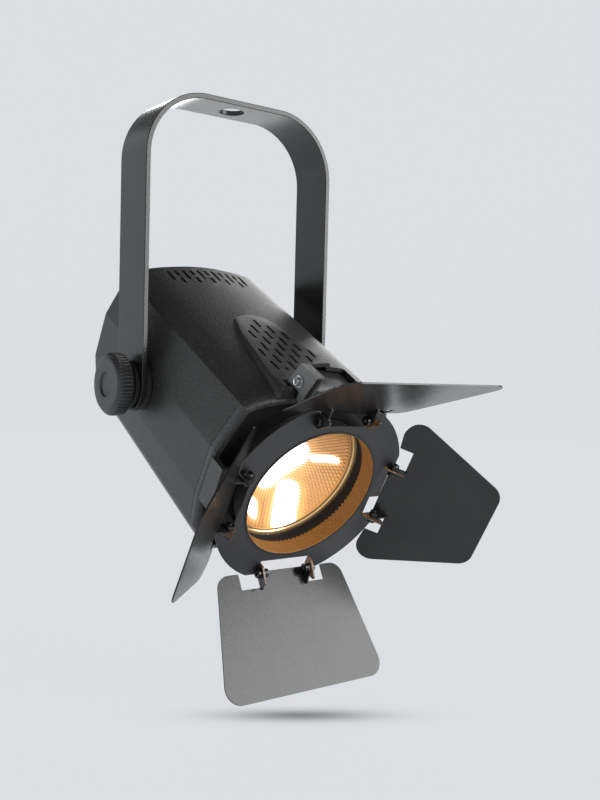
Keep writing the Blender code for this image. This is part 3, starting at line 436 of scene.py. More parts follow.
def rounded_outline(corners, steps=8):
    """A closed outline from (x, y, radius) corners."""
    points = []
    count = len(corners)
    for i, (x, y, radius) in enumerate(corners):
        corner = Vector((x, y))
        if radius <= 0:
            points.append((x, y))
            continue
        before = (Vector(corners[i - 1][:2]) - corner).normalized()
        after = (Vector(corners[(i + 1) % count][:2]) - corner).normalized()
        half = before.angle(after) / 2
        start = corner + before * (radius / math.tan(half))
        centre = corner + (before + after).normalized() * (radius / math.sin(half))
        first = start - centre
        turn = first.angle_signed(corner + after * (radius / math.tan(half)) - centre)
        for k in range(steps + 1):
            points.append(tuple(centre + Matrix.Rotation(-turn * k / steps, 2) @ first))
    return points


def outline_mesh(loops, thickness, matrix):
    """A flat sheet from 2D loops in millimetres, the first one outside, placed by a matrix."""
    curve = bpy.data.curves.new("outline", "CURVE")
    curve.dimensions = "2D"
    curve.fill_mode = "BOTH"
    curve.extrude = mm(thickness) / 2
    for loop in loops:
        spline = curve.splines.new("POLY")
        spline.points.add(len(loop) - 1)
        for point, (x, y) in zip(spline.points, loop):
            point.co = (mm(x), mm(y), 0, 1)
        spline.use_cyclic_u = True
    holder = new_object("outline", curve)
    bpy.context.view_layer.update()
    mesh = bpy.data.meshes.new_from_object(holder.evaluated_get(bpy.context.evaluated_depsgraph_get()))
    bpy.data.objects.remove(holder, do_unlink=True)
    bpy.data.curves.remove(curve)
    return placed(mesh, matrix)


def turned_mesh(profile, steps, matrix, closed=False):
    """A (radius, height) profile turned about local Z, in millimetres."""
    work = bmesh.new()
    rings = []
    for radius, height in profile:
        if radius < 1e-6:
            rings.append([work.verts.new((0, 0, mm(height)))])
            continue
        ring = []
        for i in range(steps):
            a = 2 * math.pi * i / steps
            ring.append(work.verts.new((mm(radius) * math.cos(a), mm(radius) * math.sin(a), mm(height))))
        rings.append(ring)
    join_rings(work, rings, closed)
    return finished(work, "turned", matrix)


def axis_to(direction, at=(0, 0, 0)):
    turn = Vector(direction).to_track_quat("Z", "Y").to_matrix().to_4x4()
    return Matrix.Translation([mm(v) for v in at]) @ turn


def rod_mesh(radius, half_length, steps, matrix):
    profile = [(0, half_length), (radius, half_length), (radius, -half_length), (0, -half_length)]
    return turned_mesh(profile, steps, matrix)


BEAM_AXIS = BEAM @ axis_to((0, -1, 0))


def box_mesh(low, high, matrix=Matrix.Identity(4)):
    mesh = bpy.data.meshes.new("box")
    work = bmesh.new()
    bmesh.ops.create_cube(work, size=1.0)
    size = [mm(h - l) for l, h in zip(low, high)]
    middle = [mm(h + l) / 2 for l, h in zip(low, high)]
    work.transform(matrix @ Matrix.Translation(middle) @ Matrix.Diagonal((*size, 1)))
    work.to_mesh(mesh)
    work.free()
    return mesh


def beam_box(low, high):
    return box_mesh((low[0], -high[1], low[2]), (high[0], -low[1], high[2]), BEAM)


def merged(meshes):
    work = bmesh.new()
    for mesh in meshes:
        work.from_mesh(mesh)
    result = bpy.data.meshes.new("merged")
    work.to_mesh(result)
    work.free()
    return result


def combined(mesh, steps):
    """The mesh after a list of ("UNION" or "DIFFERENCE" or "INTERSECT", mesh) steps."""
    base = new_object("base", mesh)
    tools = []
    for operation, other in steps:
        tool = new_object("tool", other)
        change = base.modifiers.new("cut", "BOOLEAN")
        change.operation = operation
        change.solver = "EXACT"
        change.object = tool
        tools.append(tool)
    bpy.context.view_layer.update()
    result = bpy.data.meshes.new_from_object(base.evaluated_get(bpy.context.evaluated_depsgraph_get()))
    for item in [base] + tools:
        bpy.data.objects.remove(item, do_unlink=True)
    return result


def round_edges(item, width, segments, angle):
    """Modifiers that merge flat faces and round every edge sharper than the angle."""
    tidy = item.modifiers.new("tidy", "DECIMATE")
    tidy.decimate_type = "DISSOLVE"
    tidy.angle_limit = FLAT_EDGE_ANGLE
    round_off = item.modifiers.new("edges", "BEVEL")
    round_off.width = mm(width)
    round_off.segments = segments
    round_off.limit_method = "ANGLE"
    round_off.angle_limit = math.radians(angle)
    round_off.harden_normals = True


def piece(name, mesh, material, body, nodes=(), smooth=35.0, edge=0.0, segments=2, slot=None):
    """A finished piece: material, rounded edges, smooth shading, its body and what it replaces."""
    mesh.materials.clear()
    mesh.materials.append(material)
    item = new_object(name, mesh)
    if edge:
        round_edges(item, edge, segments, 38)
    mesh.shade_smooth()
    mesh.set_sharp_from_angle(angle=math.radians(smooth))
    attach(item, body)
    if nodes:
        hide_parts(*nodes)


def finish_node(name, material, edge=0.25, smooth=35.0):
    """A CAD node that stays: its material, smooth shading and slightly rounded edges."""
    node = frame["nodes"][name]
    node.data.materials.clear()
    node.data.materials.append(material)
    node.data.shade_smooth()
    node.data.set_sharp_from_angle(angle=math.radians(smooth))
    weld = node.modifiers.new("weld", "WELD")
    weld.merge_threshold = 1e-6
    if edge:
        round_edges(node, edge, 2, 40)


# ---------------------------------------------------------------- yoke

def yoke_outline(inset):
    half = YOKE_WIDTH / 2
    radius = YOKE_BEND - inset
    foot = -TILT_DROP - YOKE_DEPTH
    left = arc((-half + YOKE_BEND, -YOKE_BEND), radius, 180, 90, 28)
    right = arc((half - YOKE_BEND, -YOKE_BEND), radius, 90, 0, 28)
    return [(-half + inset, foot)] + left + right + [(half - inset, foot)]


def make_yoke():
    outline = yoke_outline(0) + yoke_outline(YOKE_BAR)[::-1]
    bar = outline_mesh([outline], YOKE_DEPTH * 2, XZ_PLANE)
    half = YOKE_DEPTH / 2
    sides = arc((0, -TILT_DROP), half, 180, 360, 32) + [(half, 20.0), (-half, 20.0)]
    strip = outline_mesh([sides], YOKE_WIDTH + 20, YZ_PLANE)
    hole = rod_mesh(HANG_HOLE / 2, 10, 48, Matrix.Identity(4))
    studs = rod_mesh(4.4, 90, 32, axis_to((1, 0, 0), (0, 0, -TILT_DROP)))
    mesh = combined(bar, [("INTERSECT", strip), ("DIFFERENCE", hole), ("DIFFERENCE", studs)])
    piece("yoke_bar", mesh, YOKE_PAINT, "yoke", ["yoke"], edge=0.45, segments=3, slot="black_powder_coat")


# ---------------------------------------------------------------- tilt knobs and their stack

def knob_mesh(matrix):
    """A ribbed grip with a bevelled face and a round dished centre, as one turned and fluted skin.

    The profile's points are (radius, height, share of the groove depth)."""
    end = KNOB_END
    profile = [(0, end - 1.3, 0), (6.2, end - 1.3, 0), (6.9, end - 1.15, 0), (7.25, end - 0.25, 0),
               (7.6, end - 0.02, 0), (8.4, end, 0), (12.5, end, 0), (14.6, end - 0.15, 0),
               (15.3, end - 0.5, 0), (17.0, end - 2.0, 0.25), (17.5, end - 2.7, 0.9), (17.8, end - 3.6, 1.0),
               (17.8, 7.2, 1.0), (17.6, 6.2, 0.9), (17.0, 5.5, 0.4), (16.3, 5.2, 0), (12.1, 5.2, 0),
               (11.6, 4.9, 0), (11.5, 3.2, 0), (11.3, 3.0, 0), (4.6, 3.0, 0), (4.4, 3.3, 0), (4.4, 10.0, 0),
               (0, 10.0, 0)]
    work = bmesh.new()
    rings = []
    steps = RIBS * len(RIB_SHAPE)
    for radius, height, flute in profile:
        if radius < 1e-6:
            rings.append([work.verts.new((0, 0, mm(height)))])
            continue
        ring = []
        for i in range(steps):
            a = 2 * math.pi * i / steps
            depth = flute * RIB_DEPTH * RIB_SHAPE[i % len(RIB_SHAPE)]
            r = mm(radius - depth)
            ring.append(work.verts.new((r * math.cos(a), r * math.sin(a), mm(height))))
        rings.append(ring)
    join_rings(work, rings)
    return finished(work, "knob", matrix)


def make_tilt_clamps():
    for side, sign in SIDES:
        along = axis_to((sign, 0, 0), (sign * YOKE_WIDTH / 2, 0, -TILT_DROP))
        piece("knob_" + side, knob_mesh(along), KNOB_PLASTIC, "knob_" + side, ["tilt_knob_" + side],
              smooth=50, slot="knob_plastic")
        washer = [(4.5, 2.5), (4.7, 2.7), (12.9, 2.7), (13.5, 2.4), (13.6, 2.0), (13.6, 0.8), (13.3, GAP),
                  (4.5, GAP)]
        piece("washer_" + side, turned_mesh(washer, 64, along, True), RUBBER, "washer_" + side,
              ["tilt_washer_" + side], slot="washer_rubber")
        disc = [(4.6, -3.3), (13.2, -3.3), (13.8, -3.6), (14.5, -4.4), (14.6, -5.0), (14.6, -6.5),
                (14.3, -6.9), (4.6, -6.9)]
        piece("friction_ring_" + side, turned_mesh(disc, 64, along, True), RUBBER, "housing",
              ["friction_disc_" + side], slot="washer_rubber")
        stud = [(0, 9.5), (3.4, 9.5), (4.0, 9.0)]
        thread = 9.0
        while thread > 0.2:
            stud += [(4.0, thread), (3.55, thread - 0.45)]
            thread -= 1.1
        stud += [(4.0, -0.6), (4.0, -18.5), (3.0, -19.5), (0, -19.5)]
        piece("stud_" + side, turned_mesh(stud, 32, along), ZINC, "housing", ["tilt_stud_" + side],
              slot="zinc_steel")


# ---------------------------------------------------------------- housing shell and bezel

def section(d, inset=0.0, steps=6):
    """The housing's outline in (x, u) at a distance along the beam, its corners rounded."""
    t = (RIM - d) / (RIM - REAR)
    crown = CROWN_FRONT + (CROWN_REAR - CROWN_FRONT) * t
    side, low = 58.4 - 1.7 * t, 55.4 - 4.2 * t
    drop = crown - CREASE[1]
    right = [(x, crown - share * drop, 0) for x, share in CROWN_CURVE[:-1]]
    fold = 0.9 + 3.2 * t
    right += [(CREASE[0], CREASE[1], fold), (side, 19.0, 5.0), (side, -10.0, 5.0), (low, -31.0, 6.0),
              (low - 13.0, BOTTOM, 7.0)]
    left = [(-x, u, radius) for x, u, radius in right[::-1] if x > 1e-6]
    corners = right + left
    if inset:
        corners = inset_corners(corners, inset)
    return rounded_outline(corners, steps)


def inset_corners(corners, inset):
    moved = []
    count = len(corners)
    for i, (x, u, radius) in enumerate(corners):
        point = Vector((x, u))
        before = (point - Vector(corners[i - 1][:2])).normalized()
        after = (Vector(corners[(i + 1) % count][:2]) - point).normalized()
        middle = Vector((-(before + after).y, (before + after).x)).normalized()
        square = Vector((-after.y, after.x))
        rounding = max(0.05, radius - inset) if radius else 0.0
        moved.append((*(point - middle * (inset / middle.dot(square))), rounding))
    return moved


def stacked(outlines):
    """A solid skinned over outlines of (x, d, u) points, its two ends closed."""
    work = bmesh.new()
    rings = [[work.verts.new(beam_point(*point)) for point in outline] for outline in outlines]
    join_rings(work, rings)
    work.faces.new(rings[0])
    work.faces.new(rings[-1])
    return finished(work, "stacked", BEAM)


def loft(stations):
    """A solid through the housing's outlines at (distance along the beam, inset) stations."""
    return stacked([[(x, d, u) for x, u in section(d, inset)] for d, inset in stations])


def scoop_half_width(d):
    return 14.5 + 13.0 * ((d - 12.0) / 75.0) ** 0.8


def scoop_outline(grow, front):
    rear = arc((0, 14.0), 14.0 + grow, 150, 30, 26)
    rear = [(x * (14.5 + grow) / (14.0 + grow), 28.0 - d) for x, d in rear]
    stations = [22.0 + (front - 22.0) * i / 12 for i in range(13)]
    right = [(scoop_half_width(d) + grow, d) for d in stations]
    return rear + right + [(-x, d) for x, d in right[::-1]]


def scoop(levels, front):
    """The raised platform as a solid through (outline growth, height) levels."""
    return stacked([[(x, d, u) for x, d in scoop_outline(grow, front)] for grow, u in levels])


def plan_cutter(outline, low, high):
    matrix = BEAM @ Matrix.Translation(beam_point(0, 0, (low + high) / 2)) @ FLIP_Y
    return outline_mesh([outline], high - low, matrix)


def slot_outline(x, rear, front):
    w = SLOT_WIDTH / 2
    return arc((x, rear + w), w, 180, 360, 6) + arc((x, front - w), w, 0, 180, 6)


def vent_limit(column):
    """How far forward the slots of a column may reach: the pocket cuts the right ones short."""
    if column < 0:
        return 64.6
    return 55.3 if column else 57.0


def vents():
    slots = []
    for column in range(-VENT_COLUMNS, VENT_COLUMNS + 1):
        x = column * VENT_COLUMN_PITCH
        first = VENT_FIRST + VENT_ROW_PITCH / 2 * (column % 2)
        for row in range(VENT_ROWS):
            rear = first + row * VENT_ROW_PITCH
            front = min(rear + VENT_LENGTH, vent_limit(column))
            rear = max(rear, VENT_STARTS.get(abs(column), rear))
            if front - rear > VENT_SHORTEST:
                slots.append(slot_outline(x, rear, front))
    for i in range(REAR_VENTS):
        x = (i - (REAR_VENTS - 1) / 2) * REAR_VENT_PITCH
        for rear, front in REAR_VENT_SHORT if i % 2 else REAR_VENT_LONG:
            slots.append(slot_outline(x, rear, front))
    return slots


def make_shell():
    stations = [(REAR + (SHELL_FRONT - REAR) * i / 16, 0.0) for i in range(17)]
    top = SCOOP_TOP
    shoulder = [(3.2, 46.5), (3.2, 49.5), (2.2, 51.4), (1.35, top - 1.35), (0.75, top - 0.5),
                (0.3, top - 0.12), (0.0, top)]
    hollow = scoop([(0.4, 40.0), (0.4, 49.0), (-1.6, top - WALL)], SHELL_FRONT + 4.0)
    inner = loft([(REAR - 5.0, WALL), (SHELL_FRONT + 5.0, WALL)])
    slots = merged([plan_cutter(slot, 44.0, 62.0) for slot in vents()])
    crossing = rod_mesh(4.6, 90, 24, BEAM @ axis_to((1, 0, 0), (0, 0, BEAM_DROP)))
    latch_slot = beam_box((-22.0, 74.5, 46.0), (-12.5, SHELL_FRONT + 1.0, 58.0))
    mesh = combined(loft(stations), [
        ("UNION", scoop(shoulder, SHELL_FRONT)), ("DIFFERENCE", inner), ("DIFFERENCE", hollow),
        ("DIFFERENCE", slots), ("DIFFERENCE", plan_cutter(POCKET, 38.0, 62.0)), ("DIFFERENCE", latch_slot),
        ("DIFFERENCE", crossing)])
    piece("housing_skin", mesh, POWDER, "housing", ["housing_shell"], smooth=32, slot="black_powder_coat")


def make_bezel():
    """The front bezel with its rounded lip, side channels and the latch's slotted boss."""
    front, rear = RIM, SHELL_FRONT + GAP
    ring = loft([(rear, 0.0), (front - 3.0, 0.0), (front - 2.2, 0.2), (front - 1.2, 0.75), (front - 0.4, 1.8),
                 (front, 3.0)])
    hole = loft([(rear - 2.0, 4.0), (front + 2.0, 4.0)])
    place = BEAM @ Matrix.Translation(beam_point(0, (front - 0.8 + rear) / 2, 0)) @ XZ_PLANE
    top, half = SCOOP_TOP, scoop_half_width(RIM)
    cap = [(half + 3.2, 48.8), (half + 3.2, 49.6), (half + 1.0, top - 0.9), (half + 0.4, top - 0.25),
           (half - 0.4, top)]
    cap += [(-x, u) for x, u in cap[::-1]]
    steps = [("DIFFERENCE", hole), ("UNION", outline_mesh([cap], front - 0.8 - rear, place))]
    for _, sign in SIDES:
        wall = [(sign * 58.4, 15.5), (sign * 58.4, -10.5), (sign * 55.4, -10.5), (sign * 55.4, 15.5)]
        lip = [(sign * 58.4, 15.5), (sign * 58.4, -10.5), (sign * 50.0, -10.5), (sign * 50.0, 15.5)]
        for outline, low, high in ((wall, RIM - 1.0, 98.0), (lip, 95.8, 98.0)):
            at = BEAM @ Matrix.Translation(beam_point(0, (low + high) / 2, 0)) @ XZ_PLANE
            steps.append(("UNION", outline_mesh([outline], high - low, at)))
    boss = rounded_outline([(82.2, 49.0, 0), (90.0, 53.4, 0), (90.0, 64.0, 3.5), (82.2, 64.0, 3.5)])
    at = BEAM @ Matrix.Translation(beam_point(LATCH_X, 0, 0)) @ YZ_PLANE @ Matrix.Diagonal((-1, 1, 1, 1))
    steps.append(("UNION", outline_mesh([boss], 2.9, at)))
    pin = rod_mesh(1.7, 5, 24, BEAM @ axis_to((1, 0, 0), (LATCH_X, -LATCH_D, LATCH_U)))
    steps.append(("DIFFERENCE", pin))
    for side in (-1, 1):
        low, high = sorted((LATCH_X + side * 1.6, LATCH_X + side * (LATCH_HALF + 0.5)))
        steps.append(("DIFFERENCE", beam_box((low, SHELL_FRONT - 1.0, 50.4), (high, RIM + 3.0, 70.0))))
    mesh = combined(ring, steps)
    piece("hood_front", mesh, BEZEL_HIGHLIGHT_COAT, "housing", ["front_bezel"], edge=1.1, segments=3,
          slot="black_powder_coat")


# ---------------------------------------------------------------- latch

def make_latch():
    arm = [(76.8, 55.3, 0.8), (88.4, 55.3, 0.3), (88.4, 51.5, 0.3), (91.3, 49.6, 0.8), (97.4, 68.4, 0.8),
           (96.8, 69.0, 0.5), (82.4, 69.0, 0.8)]
    arm = [(-d, u) for d, u in rounded_outline(arm, 4)]
    hole = circle((-LATCH_D, LATCH_U), 1.8, 24)
    near = BEAM @ Matrix.Translation(beam_point(LATCH_X - LATCH_HALF + 0.5, 0, 0)) @ YZ_PLANE
    far = BEAM @ Matrix.Translation(beam_point(LATCH_X + LATCH_HALF - 0.5, 0, 0)) @ YZ_PLANE
    bridge = beam_box((LATCH_X - LATCH_HALF + 0.2, 82.8, 68.0), (LATCH_X + LATCH_HALF - 0.2, 97.0, 69.0))
    mesh = combined(outline_mesh([arm, hole], 1.0, near),
                    [("UNION", outline_mesh([arm, hole], 1.0, far)), ("UNION", bridge)])
    piece("latch_bracket", mesh, LATCH_LIGHT_GREY, "latch", ["retaining_latch"], edge=0.2,
          slot="black_sheet_metal")


def screw_mesh(matrix, head, height, recess, washer, washer_height, shank, start, end, nut):
    """A cap screw: washer and drilled head outside start, a plain shank to end and a nut there.

    nut is its (radius, depth)."""
    profile = [(0, start + washer_height + height * 0.45), (recess, start + washer_height + height * 0.45),
               (recess, start + washer_height + height * 0.95), (recess * 1.15,
                                                                 start + washer_height + height),
               (head * 0.86, start + washer_height + height), (head, start + washer_height + height * 0.8),
               (head, start + washer_height), (washer * 0.96, start + washer_height),
               (washer, start + washer_height * 0.8), (washer, start), (shank, start), (shank, end)]
    radius, depth = nut
    profile += [(radius, end), (radius, end - depth * 0.3), (radius * 0.9, end - depth * 0.33),
                (radius, end - depth * 0.36), (radius * 0.95, end - depth), (shank, end - depth),
                (shank * 0.8, end - depth - 1.2), (0, end - depth - 1.2)]
    return turned_mesh(profile, 24, matrix)


# ---------------------------------------------------------------- barn-door ring and leaves

def plate_outline():
    """The ring plate's edge: four round lobes with a notch for a leaf's hinge between each two."""
    lobe = math.degrees(math.asin(24.0 / PLATE_RADIUS))
    notch = EAR_T[0] + 0.2
    quarter = [(notch, 44.0), (notch, 53.0), (24.0, 53.0)]
    quarter += arc((0, 0), PLATE_RADIUS, 90 - lobe, lobe, 36)[1:-1]
    quarter += [(53.0, 24.0), (53.0, notch), (44.0, notch)]
    points = []
    for turn in range(4):
        angle = -turn * math.pi / 2
        c, s = math.cos(angle), math.sin(angle)
        points += [(x * c - y * s, x * s + y * c) for x, y in quarter]
    return points


def hinge_turn(index):
    return RING @ Matrix.Rotation(-index * math.pi / 2, 4, "Y")


def ear_mesh(index, sign):
    rear, tip = PLATE_FRONT - PLATE_THICK, 116.5
    outline = [(rear, 45.0, 0), (rear, 53.0, 0), (108.5, 53.4, 1.2), (tip, 53.0, 1.2), (108.0, 45.0, 1.5)]
    points = [(-d, -r) for d, r in rounded_outline(outline, 6)]
    hole = circle((-HINGE_D, -HINGE_RADIUS), 1.35, 20)
    middle = sign * (EAR_T[0] + EAR_T[1]) / 2
    place = hinge_turn(index) @ Matrix.Translation((mm(middle), 0, 0)) @ YZ_PLANE
    return outline_mesh([points, hole], EAR_T[1] - EAR_T[0], place)


def make_ring():
    place = RING @ Matrix.Translation(beam_point(0, PLATE_FRONT - PLATE_THICK / 2, 0)) @ XZ_PLANE
    plate = outline_mesh([plate_outline(), circle((0, 0), 40.4, 96)], PLATE_THICK, place)
    ring_axis = RING @ axis_to((0, -1, 0))
    front = PLATE_FRONT + GAP
    tube = [(TUBE_INNER + 0.05, front), (TUBE_OUTER, front), (TUBE_OUTER, 90.2), (43.6, 90.2), (43.6, 89.2),
            (TUBE_INNER + 0.05, 89.2)]
    piece("barn_ring_tube", turned_mesh(tube, ROUND_STEPS, ring_axis, True), INSIDE, "barn_ring",
          slot="black_sheet_metal")
    ears = merged([ear_mesh(index, sign) for index in range(4) for _, sign in SIDES])
    piece("barn_ring_ears", ears, EAR_LIT, "barn_ring", edge=0.12, slot="black_sheet_metal")
    piece("barn_ring_sheet", plate, SHEET, "barn_ring", ["barn_door_ring"], edge=0.18,
          slot="black_sheet_metal")
    make_tube_liner(ring_axis)


def make_tube_liner(ring_axis):
    """The tube's lit inner face, with the fine teeth of its rear edge."""
    work = bmesh.new()
    tooth_shape = (0.0, 0.55, 0.8, 0.25)
    steps = TUBE_TEETH * len(tooth_shape)
    inner, outer = TUBE_INNER - 0.25, TUBE_INNER + 0.02
    profile = ((outer, PLATE_FRONT + 0.1, 0), (inner, PLATE_FRONT - 0.1, 0), (inner, 100.0, 0),
               (inner, 97.0, 0), (inner, TUBE_LIT_FROM, TOOTH_LENGTH), (outer, TUBE_LIT_FROM, TOOTH_LENGTH))
    rings = []
    for radius, height, jag in profile:
        ring = []
        for i in range(steps):
            a = 2 * math.pi * i / steps
            tooth = tooth_shape[i % len(tooth_shape)] * (0.8 + 0.4 * math.sin(i * 1.7))
            z = height + jag * tooth
            ring.append(work.verts.new((mm(radius) * math.cos(a), mm(radius) * math.sin(a), mm(z))))
        rings.append(ring)
    join_rings(work, rings, True)
    piece("tube_wall_glow", finished(work, "liner", ring_axis), TUBE_LIT, "barn_ring",
          slot="black_sheet_metal")


def leaf_outline(shape):
    start, end = shape["start"], shape["end"]
    hinge, outer = shape["hinge"] / 2, shape["outer"] / 2
    right = [(NOTCH_T[0], start, 0), (NOTCH_T[0], NOTCH_END, 0.4), (NOTCH_T[1], NOTCH_END, 0.6),
             (NOTCH_T[1], start, 0.8), (hinge, start - shape["sweep"], shape["corner"]),
             (outer, end, END_CORNER)]
    left = [(-x, s, radius) for x, s, radius in right[::-1]]
    return rounded_outline(right + left, 14)


def make_leaf(index):
    """A leaf with its two hinge tabs, and the two screws that hold it to the ring's ears."""
    name = LEAF_NAMES[index]
    short = name.removeprefix("leaf_")
    shape = FLARED_LEAF if index % 2 == 0 else TAPERED_LEAF
    around = hinge_turn(index)
    swing = around @ Matrix.Translation((0, -mm(HINGE_D), -mm(HINGE_RADIUS))) @ Matrix.Rotation(
        math.radians(LEAF_OPEN[index]), 4, "X")
    sheet = swing @ Matrix.Translation((0, 0, -mm(LEAF_OFFSET))) @ FLIP_Y
    leaf = outline_mesh([leaf_outline(shape)], LEAF_SHEET, sheet)
    foot = -LEAF_OFFSET - LEAF_SHEET / 2 + 0.1
    tab = [(0.8, foot, 0), (0.8, foot + 2.0, 0.4), (2.8, 0.6, 1.5), (0.5, 2.9, 2.0), (-3.0, 1.5, 2.0),
           (-8.4, foot + 1.2, 0.5), (-8.4, foot, 0)]
    hole = circle((0, 0), 1.35, 20)
    bodies = [leaf]
    for sign in (-1, 1):
        middle = sign * (TAB_T[0] + TAB_T[1]) / 2
        place = swing @ Matrix.Translation((mm(middle), 0, 0)) @ YZ_PLANE
        bodies.append(outline_mesh([rounded_outline(tab, 6), hole], TAB_T[1] - TAB_T[0], place))
        side = "a" if sign < 0 else "b"
        head, nut = EAR_T[1] + GAP, TAB_T[0] - GAP
        at = around @ axis_to((sign, 0, 0), (0, -HINGE_D, -HINGE_RADIUS))
        screw = screw_mesh(at, 2.5, 1.6, 1.1, 3.0, 0.4, 1.05, head, nut, (2.6, 1.8))
        piece(f"hinge_bolt_{short}_{side}", screw, BLACK_STEEL, "barn_ring", [f"hinge_screw_{short}_{side}"],
              slot="black_screw_steel")
    piece("door_" + short, merged(bodies), LEAF_PAINT, name, [name], edge=0.16, slot="black_sheet_metal")


# ---------------------------------------------------------------- optics

def bowl(t):
    """The reflector's (radius, distance along the beam) at a share of its depth."""
    return 8.6 + 29.9 * math.sqrt(t), 52.0 + 32.2 * t ** 1.15


def make_baffle():
    """The black plate behind the bezel with a collar that hides the lamp's rim from the side."""
    place = BEAM @ Matrix.Translation(beam_point(0, BAFFLE_D + BAFFLE_THICK / 2, 0)) @ XZ_PLANE
    plate = outline_mesh([section(BAFFLE_D, WALL + GAP), circle((0, 0), 42.9, 96)], BAFFLE_THICK, place)
    collar = [(42.5, 88.4), (43.2, 88.6), (43.6, 88.2), (43.6, 79.6), (42.5, 79.6)]
    collar = turned_mesh(collar, ROUND_STEPS, BEAM_AXIS, True)
    piece("baffle_collar", merged([plate, collar]), INSIDE, "housing", ["front_baffle"],
          slot="black_sheet_metal")


def make_reflector():
    """A bowl of small diamond dimples, flat shaded, with a plain back."""
    work = bmesh.new()
    around, deep = DIMPLES_ROUND, DIMPLE_ROWS
    rows = []
    for j in range(deep + 1):
        radius, d = bowl((j / deep) ** 1.35)
        shift = 0.5 if j % 2 else 0.0
        row = []
        for i in range(around):
            a = 2 * math.pi * (i + shift) / around
            row.append(work.verts.new(beam_point(radius * math.cos(a), d, radius * math.sin(a))))
        rows.append(row)
    for j in range(deep):
        for i in range(around):
            k = (i + 1) % around
            low, high = rows[j], rows[j + 1]
            left, right = (high[i - 1], high[i]) if j % 2 == 0 else (high[i], high[k])
            if j == 0:
                work.faces.new((low[i], low[k], high[i]))
            if j == deep - 1:
                work.faces.new((low[i], right, left))
                continue
            top = rows[j + 2][i]
            middle = (low[i].co + left.co + right.co + top.co) / 4
            out = Vector((middle.x, 0, middle.z)).normalized()
            dimple = work.verts.new(middle + out * mm(DIMPLE_DEPTH))
            for a, b in ((low[i], right), (right, top), (top, left), (left, low[i])):
                work.faces.new((a, b, dimple))
    mesh = bpy.data.meshes.new("reflector")
    work.to_mesh(mesh)
    work.free()
    mesh.transform(BEAM)
    mesh.materials.append(ALUMINIUM)
    mesh.materials.append(REFLECTOR)
    item = new_object("reflector_bowl", mesh)
    item.visible_glossy = False
    thick = item.modifiers.new("thickness", "SOLIDIFY")
    thick.thickness = mm(0.5)
    thick.offset = 1.0
    thick.material_offset = 1
    thick.material_offset_rim = 1
    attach(item, "housing")
    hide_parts("reflector")
    ring = [(40.0, 85.4), (40.5, 85.6), (41.7, 85.6), (42.2, 85.2), (42.2, 82.4), (40.0, 82.4),
            (39.2, 83.2), (39.4, 84.8)]
    piece("reflector_rim", turned_mesh(ring, ROUND_STEPS, BEAM_AXIS, True), GOLD, "housing",
          ["reflector_ring"],
          slot="reflector_metal")


# ---------------------------------------------------------------- nodes that keep their CAD shape

KEPT = {
    "slot_lid": LID_GREY, "rear_panel": SHEET, "accessory_frame": INSIDE,
    "power_inlet": PLASTIC, "data_in_socket": PLASTIC, "data_out_socket": PLASTIC, "display_window": SCREEN,
    "button_menu": BUTTON, "button_down": BUTTON, "button_up": BUTTON, "button_enter": BUTTON,
    "safety_loop": ZINC, "fan_frame": PLASTIC, "fan_rotor": PLASTIC, "heat_sink": ALUMINIUM,
    "driver_board": CIRCUIT, "driver_bracket": SHEET, "led_board": WHITE_CIRCUIT, "led_emitter": PHOSPHOR,
    "front_glass": GLASS,
}

make_yoke()
make_tilt_clamps()
make_shell()
make_bezel()
make_latch()
make_ring()
for leaf_index in range(4):
    make_leaf(leaf_index)
make_baffle()
make_reflector()
for node_name, node_material in KEPT.items():
    finish_node(node_name, node_material, 0.0 if node_name in ("front_glass", "led_emitter") else 0.25)
latch_axis = BEAM @ axis_to((-1, 0, 0), (LATCH_X, -LATCH_D, LATCH_U))
latch_bolt = screw_mesh(latch_axis, 2.3, 1.9, 1.1, 3.4, 0.5, 1.4, 3.05, -3.05, (2.6, 1.7))
piece("latch_bolt", latch_bolt, ZINC, "housing", ["latch_screw"], slot="zinc_steel")


# ---------------------------------------------------------------- floor, light and camera

BACKDROP_REACH = 3400.0         # millimetres
BACKDROP_BEND = 1000.0
BACKDROP_TOP = 2100.0
SHADOW_AT = (-0.0203, -0.1094)  # metres from here on
SHADOW_ALONG = Vector((0.836, -0.549))
SHADOW_SIZE = (0.027, 0.0055)
SHADOW_DEPTH = 0.66
CAMERA_AT = Vector((-0.3087, -0.4825, -0.1518))
CAMERA_LENS = 41.92
CAMERA_SENSOR = 36.0
RIGHT = Vector((0.79693, -0.60353, 0.02551)).normalized()
FORWARD = Vector((0.60404, 0.79581, -0.04264)).normalized()


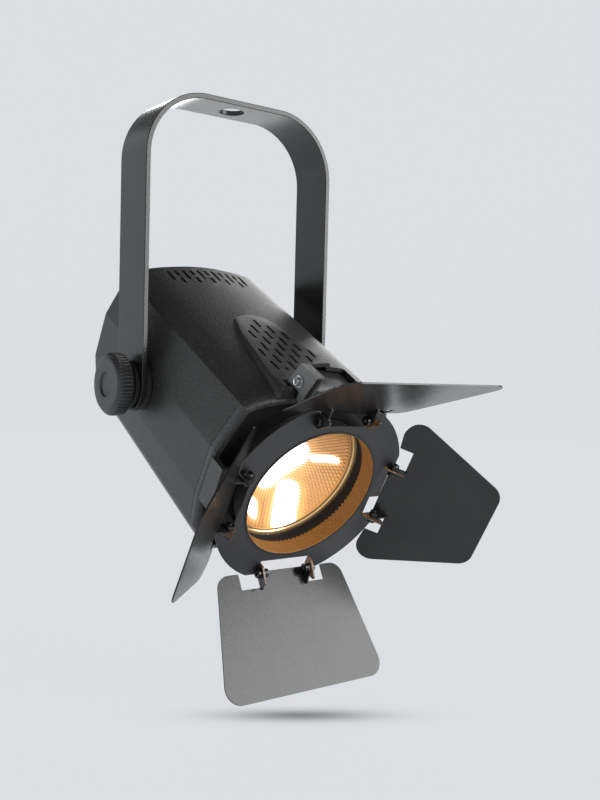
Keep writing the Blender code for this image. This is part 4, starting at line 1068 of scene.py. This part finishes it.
def make_backdrop():
    """A pale floor that curves up all round into a low wall, with a soft painted shadow under the light."""
    floor = CAD_BOX[0].z - 0.004
    base = floor * 1000
    bend = arc((BACKDROP_REACH - BACKDROP_BEND, base + BACKDROP_BEND), BACKDROP_BEND, -90, 0, 12)
    profile = [(0.0, base)] + bend + [(BACKDROP_REACH, base + BACKDROP_TOP)]
    mesh = turned_mesh(profile, 96, Matrix.Identity(4))
    mesh.shade_smooth()
    material, nodes, links, shader = shader_of("backdrop_paper")
    # Painted shadow: the floor's glow is dimmed in a soft ellipse under the lamp.
    centre = Vector((*SHADOW_AT, floor))
    offset = vector_math(nodes, links, "SUBTRACT", nodes.new("ShaderNodeTexCoord").outputs["Object"], centre)
    squares = None
    for direction, size in zip((SHADOW_ALONG, SHADOW_ALONG.orthogonal()), SHADOW_SIZE):
        share = vector_math(nodes, links, "DOT_PRODUCT", offset, Vector((*(direction / size), 0)))
        square = plain_math(nodes, links, "MULTIPLY", share, share)
        squares = square if squares is None else plain_math(nodes, links, "ADD", squares, square)
    painted_shadow = plain_math(nodes, links, "POWER", math.e, plain_math(nodes, links, "MULTIPLY", squares, -0.5))
    links.new(plain_math(nodes, links, "SUBTRACT", 1.0, plain_math(nodes, links, "MULTIPLY", painted_shadow,
                                                                   SHADOW_DEPTH)),
              shader.inputs["Emission Strength"])
    shader.inputs["Emission Color"].default_value = (0.700, 0.728, 0.750, 1)
    shader.inputs["Base Color"].default_value = (0.015, 0.015, 0.015, 1)
    shader.inputs["Roughness"].default_value = 0.9
    shader.inputs["Specular IOR Level"].default_value = 0.0
    mesh.materials.append(material)
    new_object("backdrop", mesh)


def make_camera():
    camera = bpy.data.cameras.new("camera")
    camera.sensor_fit = "VERTICAL"
    camera.sensor_height = CAMERA_SENSOR
    camera.lens = CAMERA_LENS
    camera.clip_start = 0.01
    holder = bpy.data.objects.new("camera", camera)
    SCENE.collection.objects.link(holder)
    up = RIGHT.cross(FORWARD)
    rotation = Matrix((RIGHT, up, -FORWARD)).transposed().to_4x4()
    holder.matrix_world = Matrix.Translation(CAMERA_AT) @ rotation
    SCENE.camera = holder


def area_light(name, at, target, size, power):
    """A soft box that the camera does not see, turned to its target."""
    light = bpy.data.lights.new(name, "AREA")
    light.shape = "RECTANGLE"
    light.size, light.size_y = size
    light.energy = power
    holder = bpy.data.objects.new(name, light)
    SCENE.collection.objects.link(holder)
    turn = (Vector(at) - Vector(target)).to_track_quat("Z", "Y").to_matrix().to_4x4()
    holder.matrix_world = Matrix.Translation(at) @ turn
    holder.visible_camera = False


def make_light():
    """A dim even world, a key from the front right, and fills from behind, the left and the floor."""
    world = bpy.data.worlds.new("studio")
    SCENE.world = world
    world.use_nodes = True
    background = world.node_tree.nodes["Background"]
    background.inputs["Color"].default_value = (1.0, 1.0, 1.0, 1)
    background.inputs["Strength"].default_value = 0.10
    target = (0, -0.05, -0.17)
    area_light("key_box", (0.88, -1.13, 0.14), target, (0.9, 0.9), 15)
    area_light("back_box", (0.90, 1.15, 0.34), target, (1.0, 0.9), 13)
    area_light("left_box", (-1.15, 0.60, -0.28), target, (0.6, 0.5), 2.8)
    area_light("floor_box", (0.42, 0.45, -0.325), (0.30, 0.25, 0.3), (0.9, 0.9), 1.6)


make_camera()
make_backdrop()
make_light()
SCENE.view_settings.view_transform = "Standard"
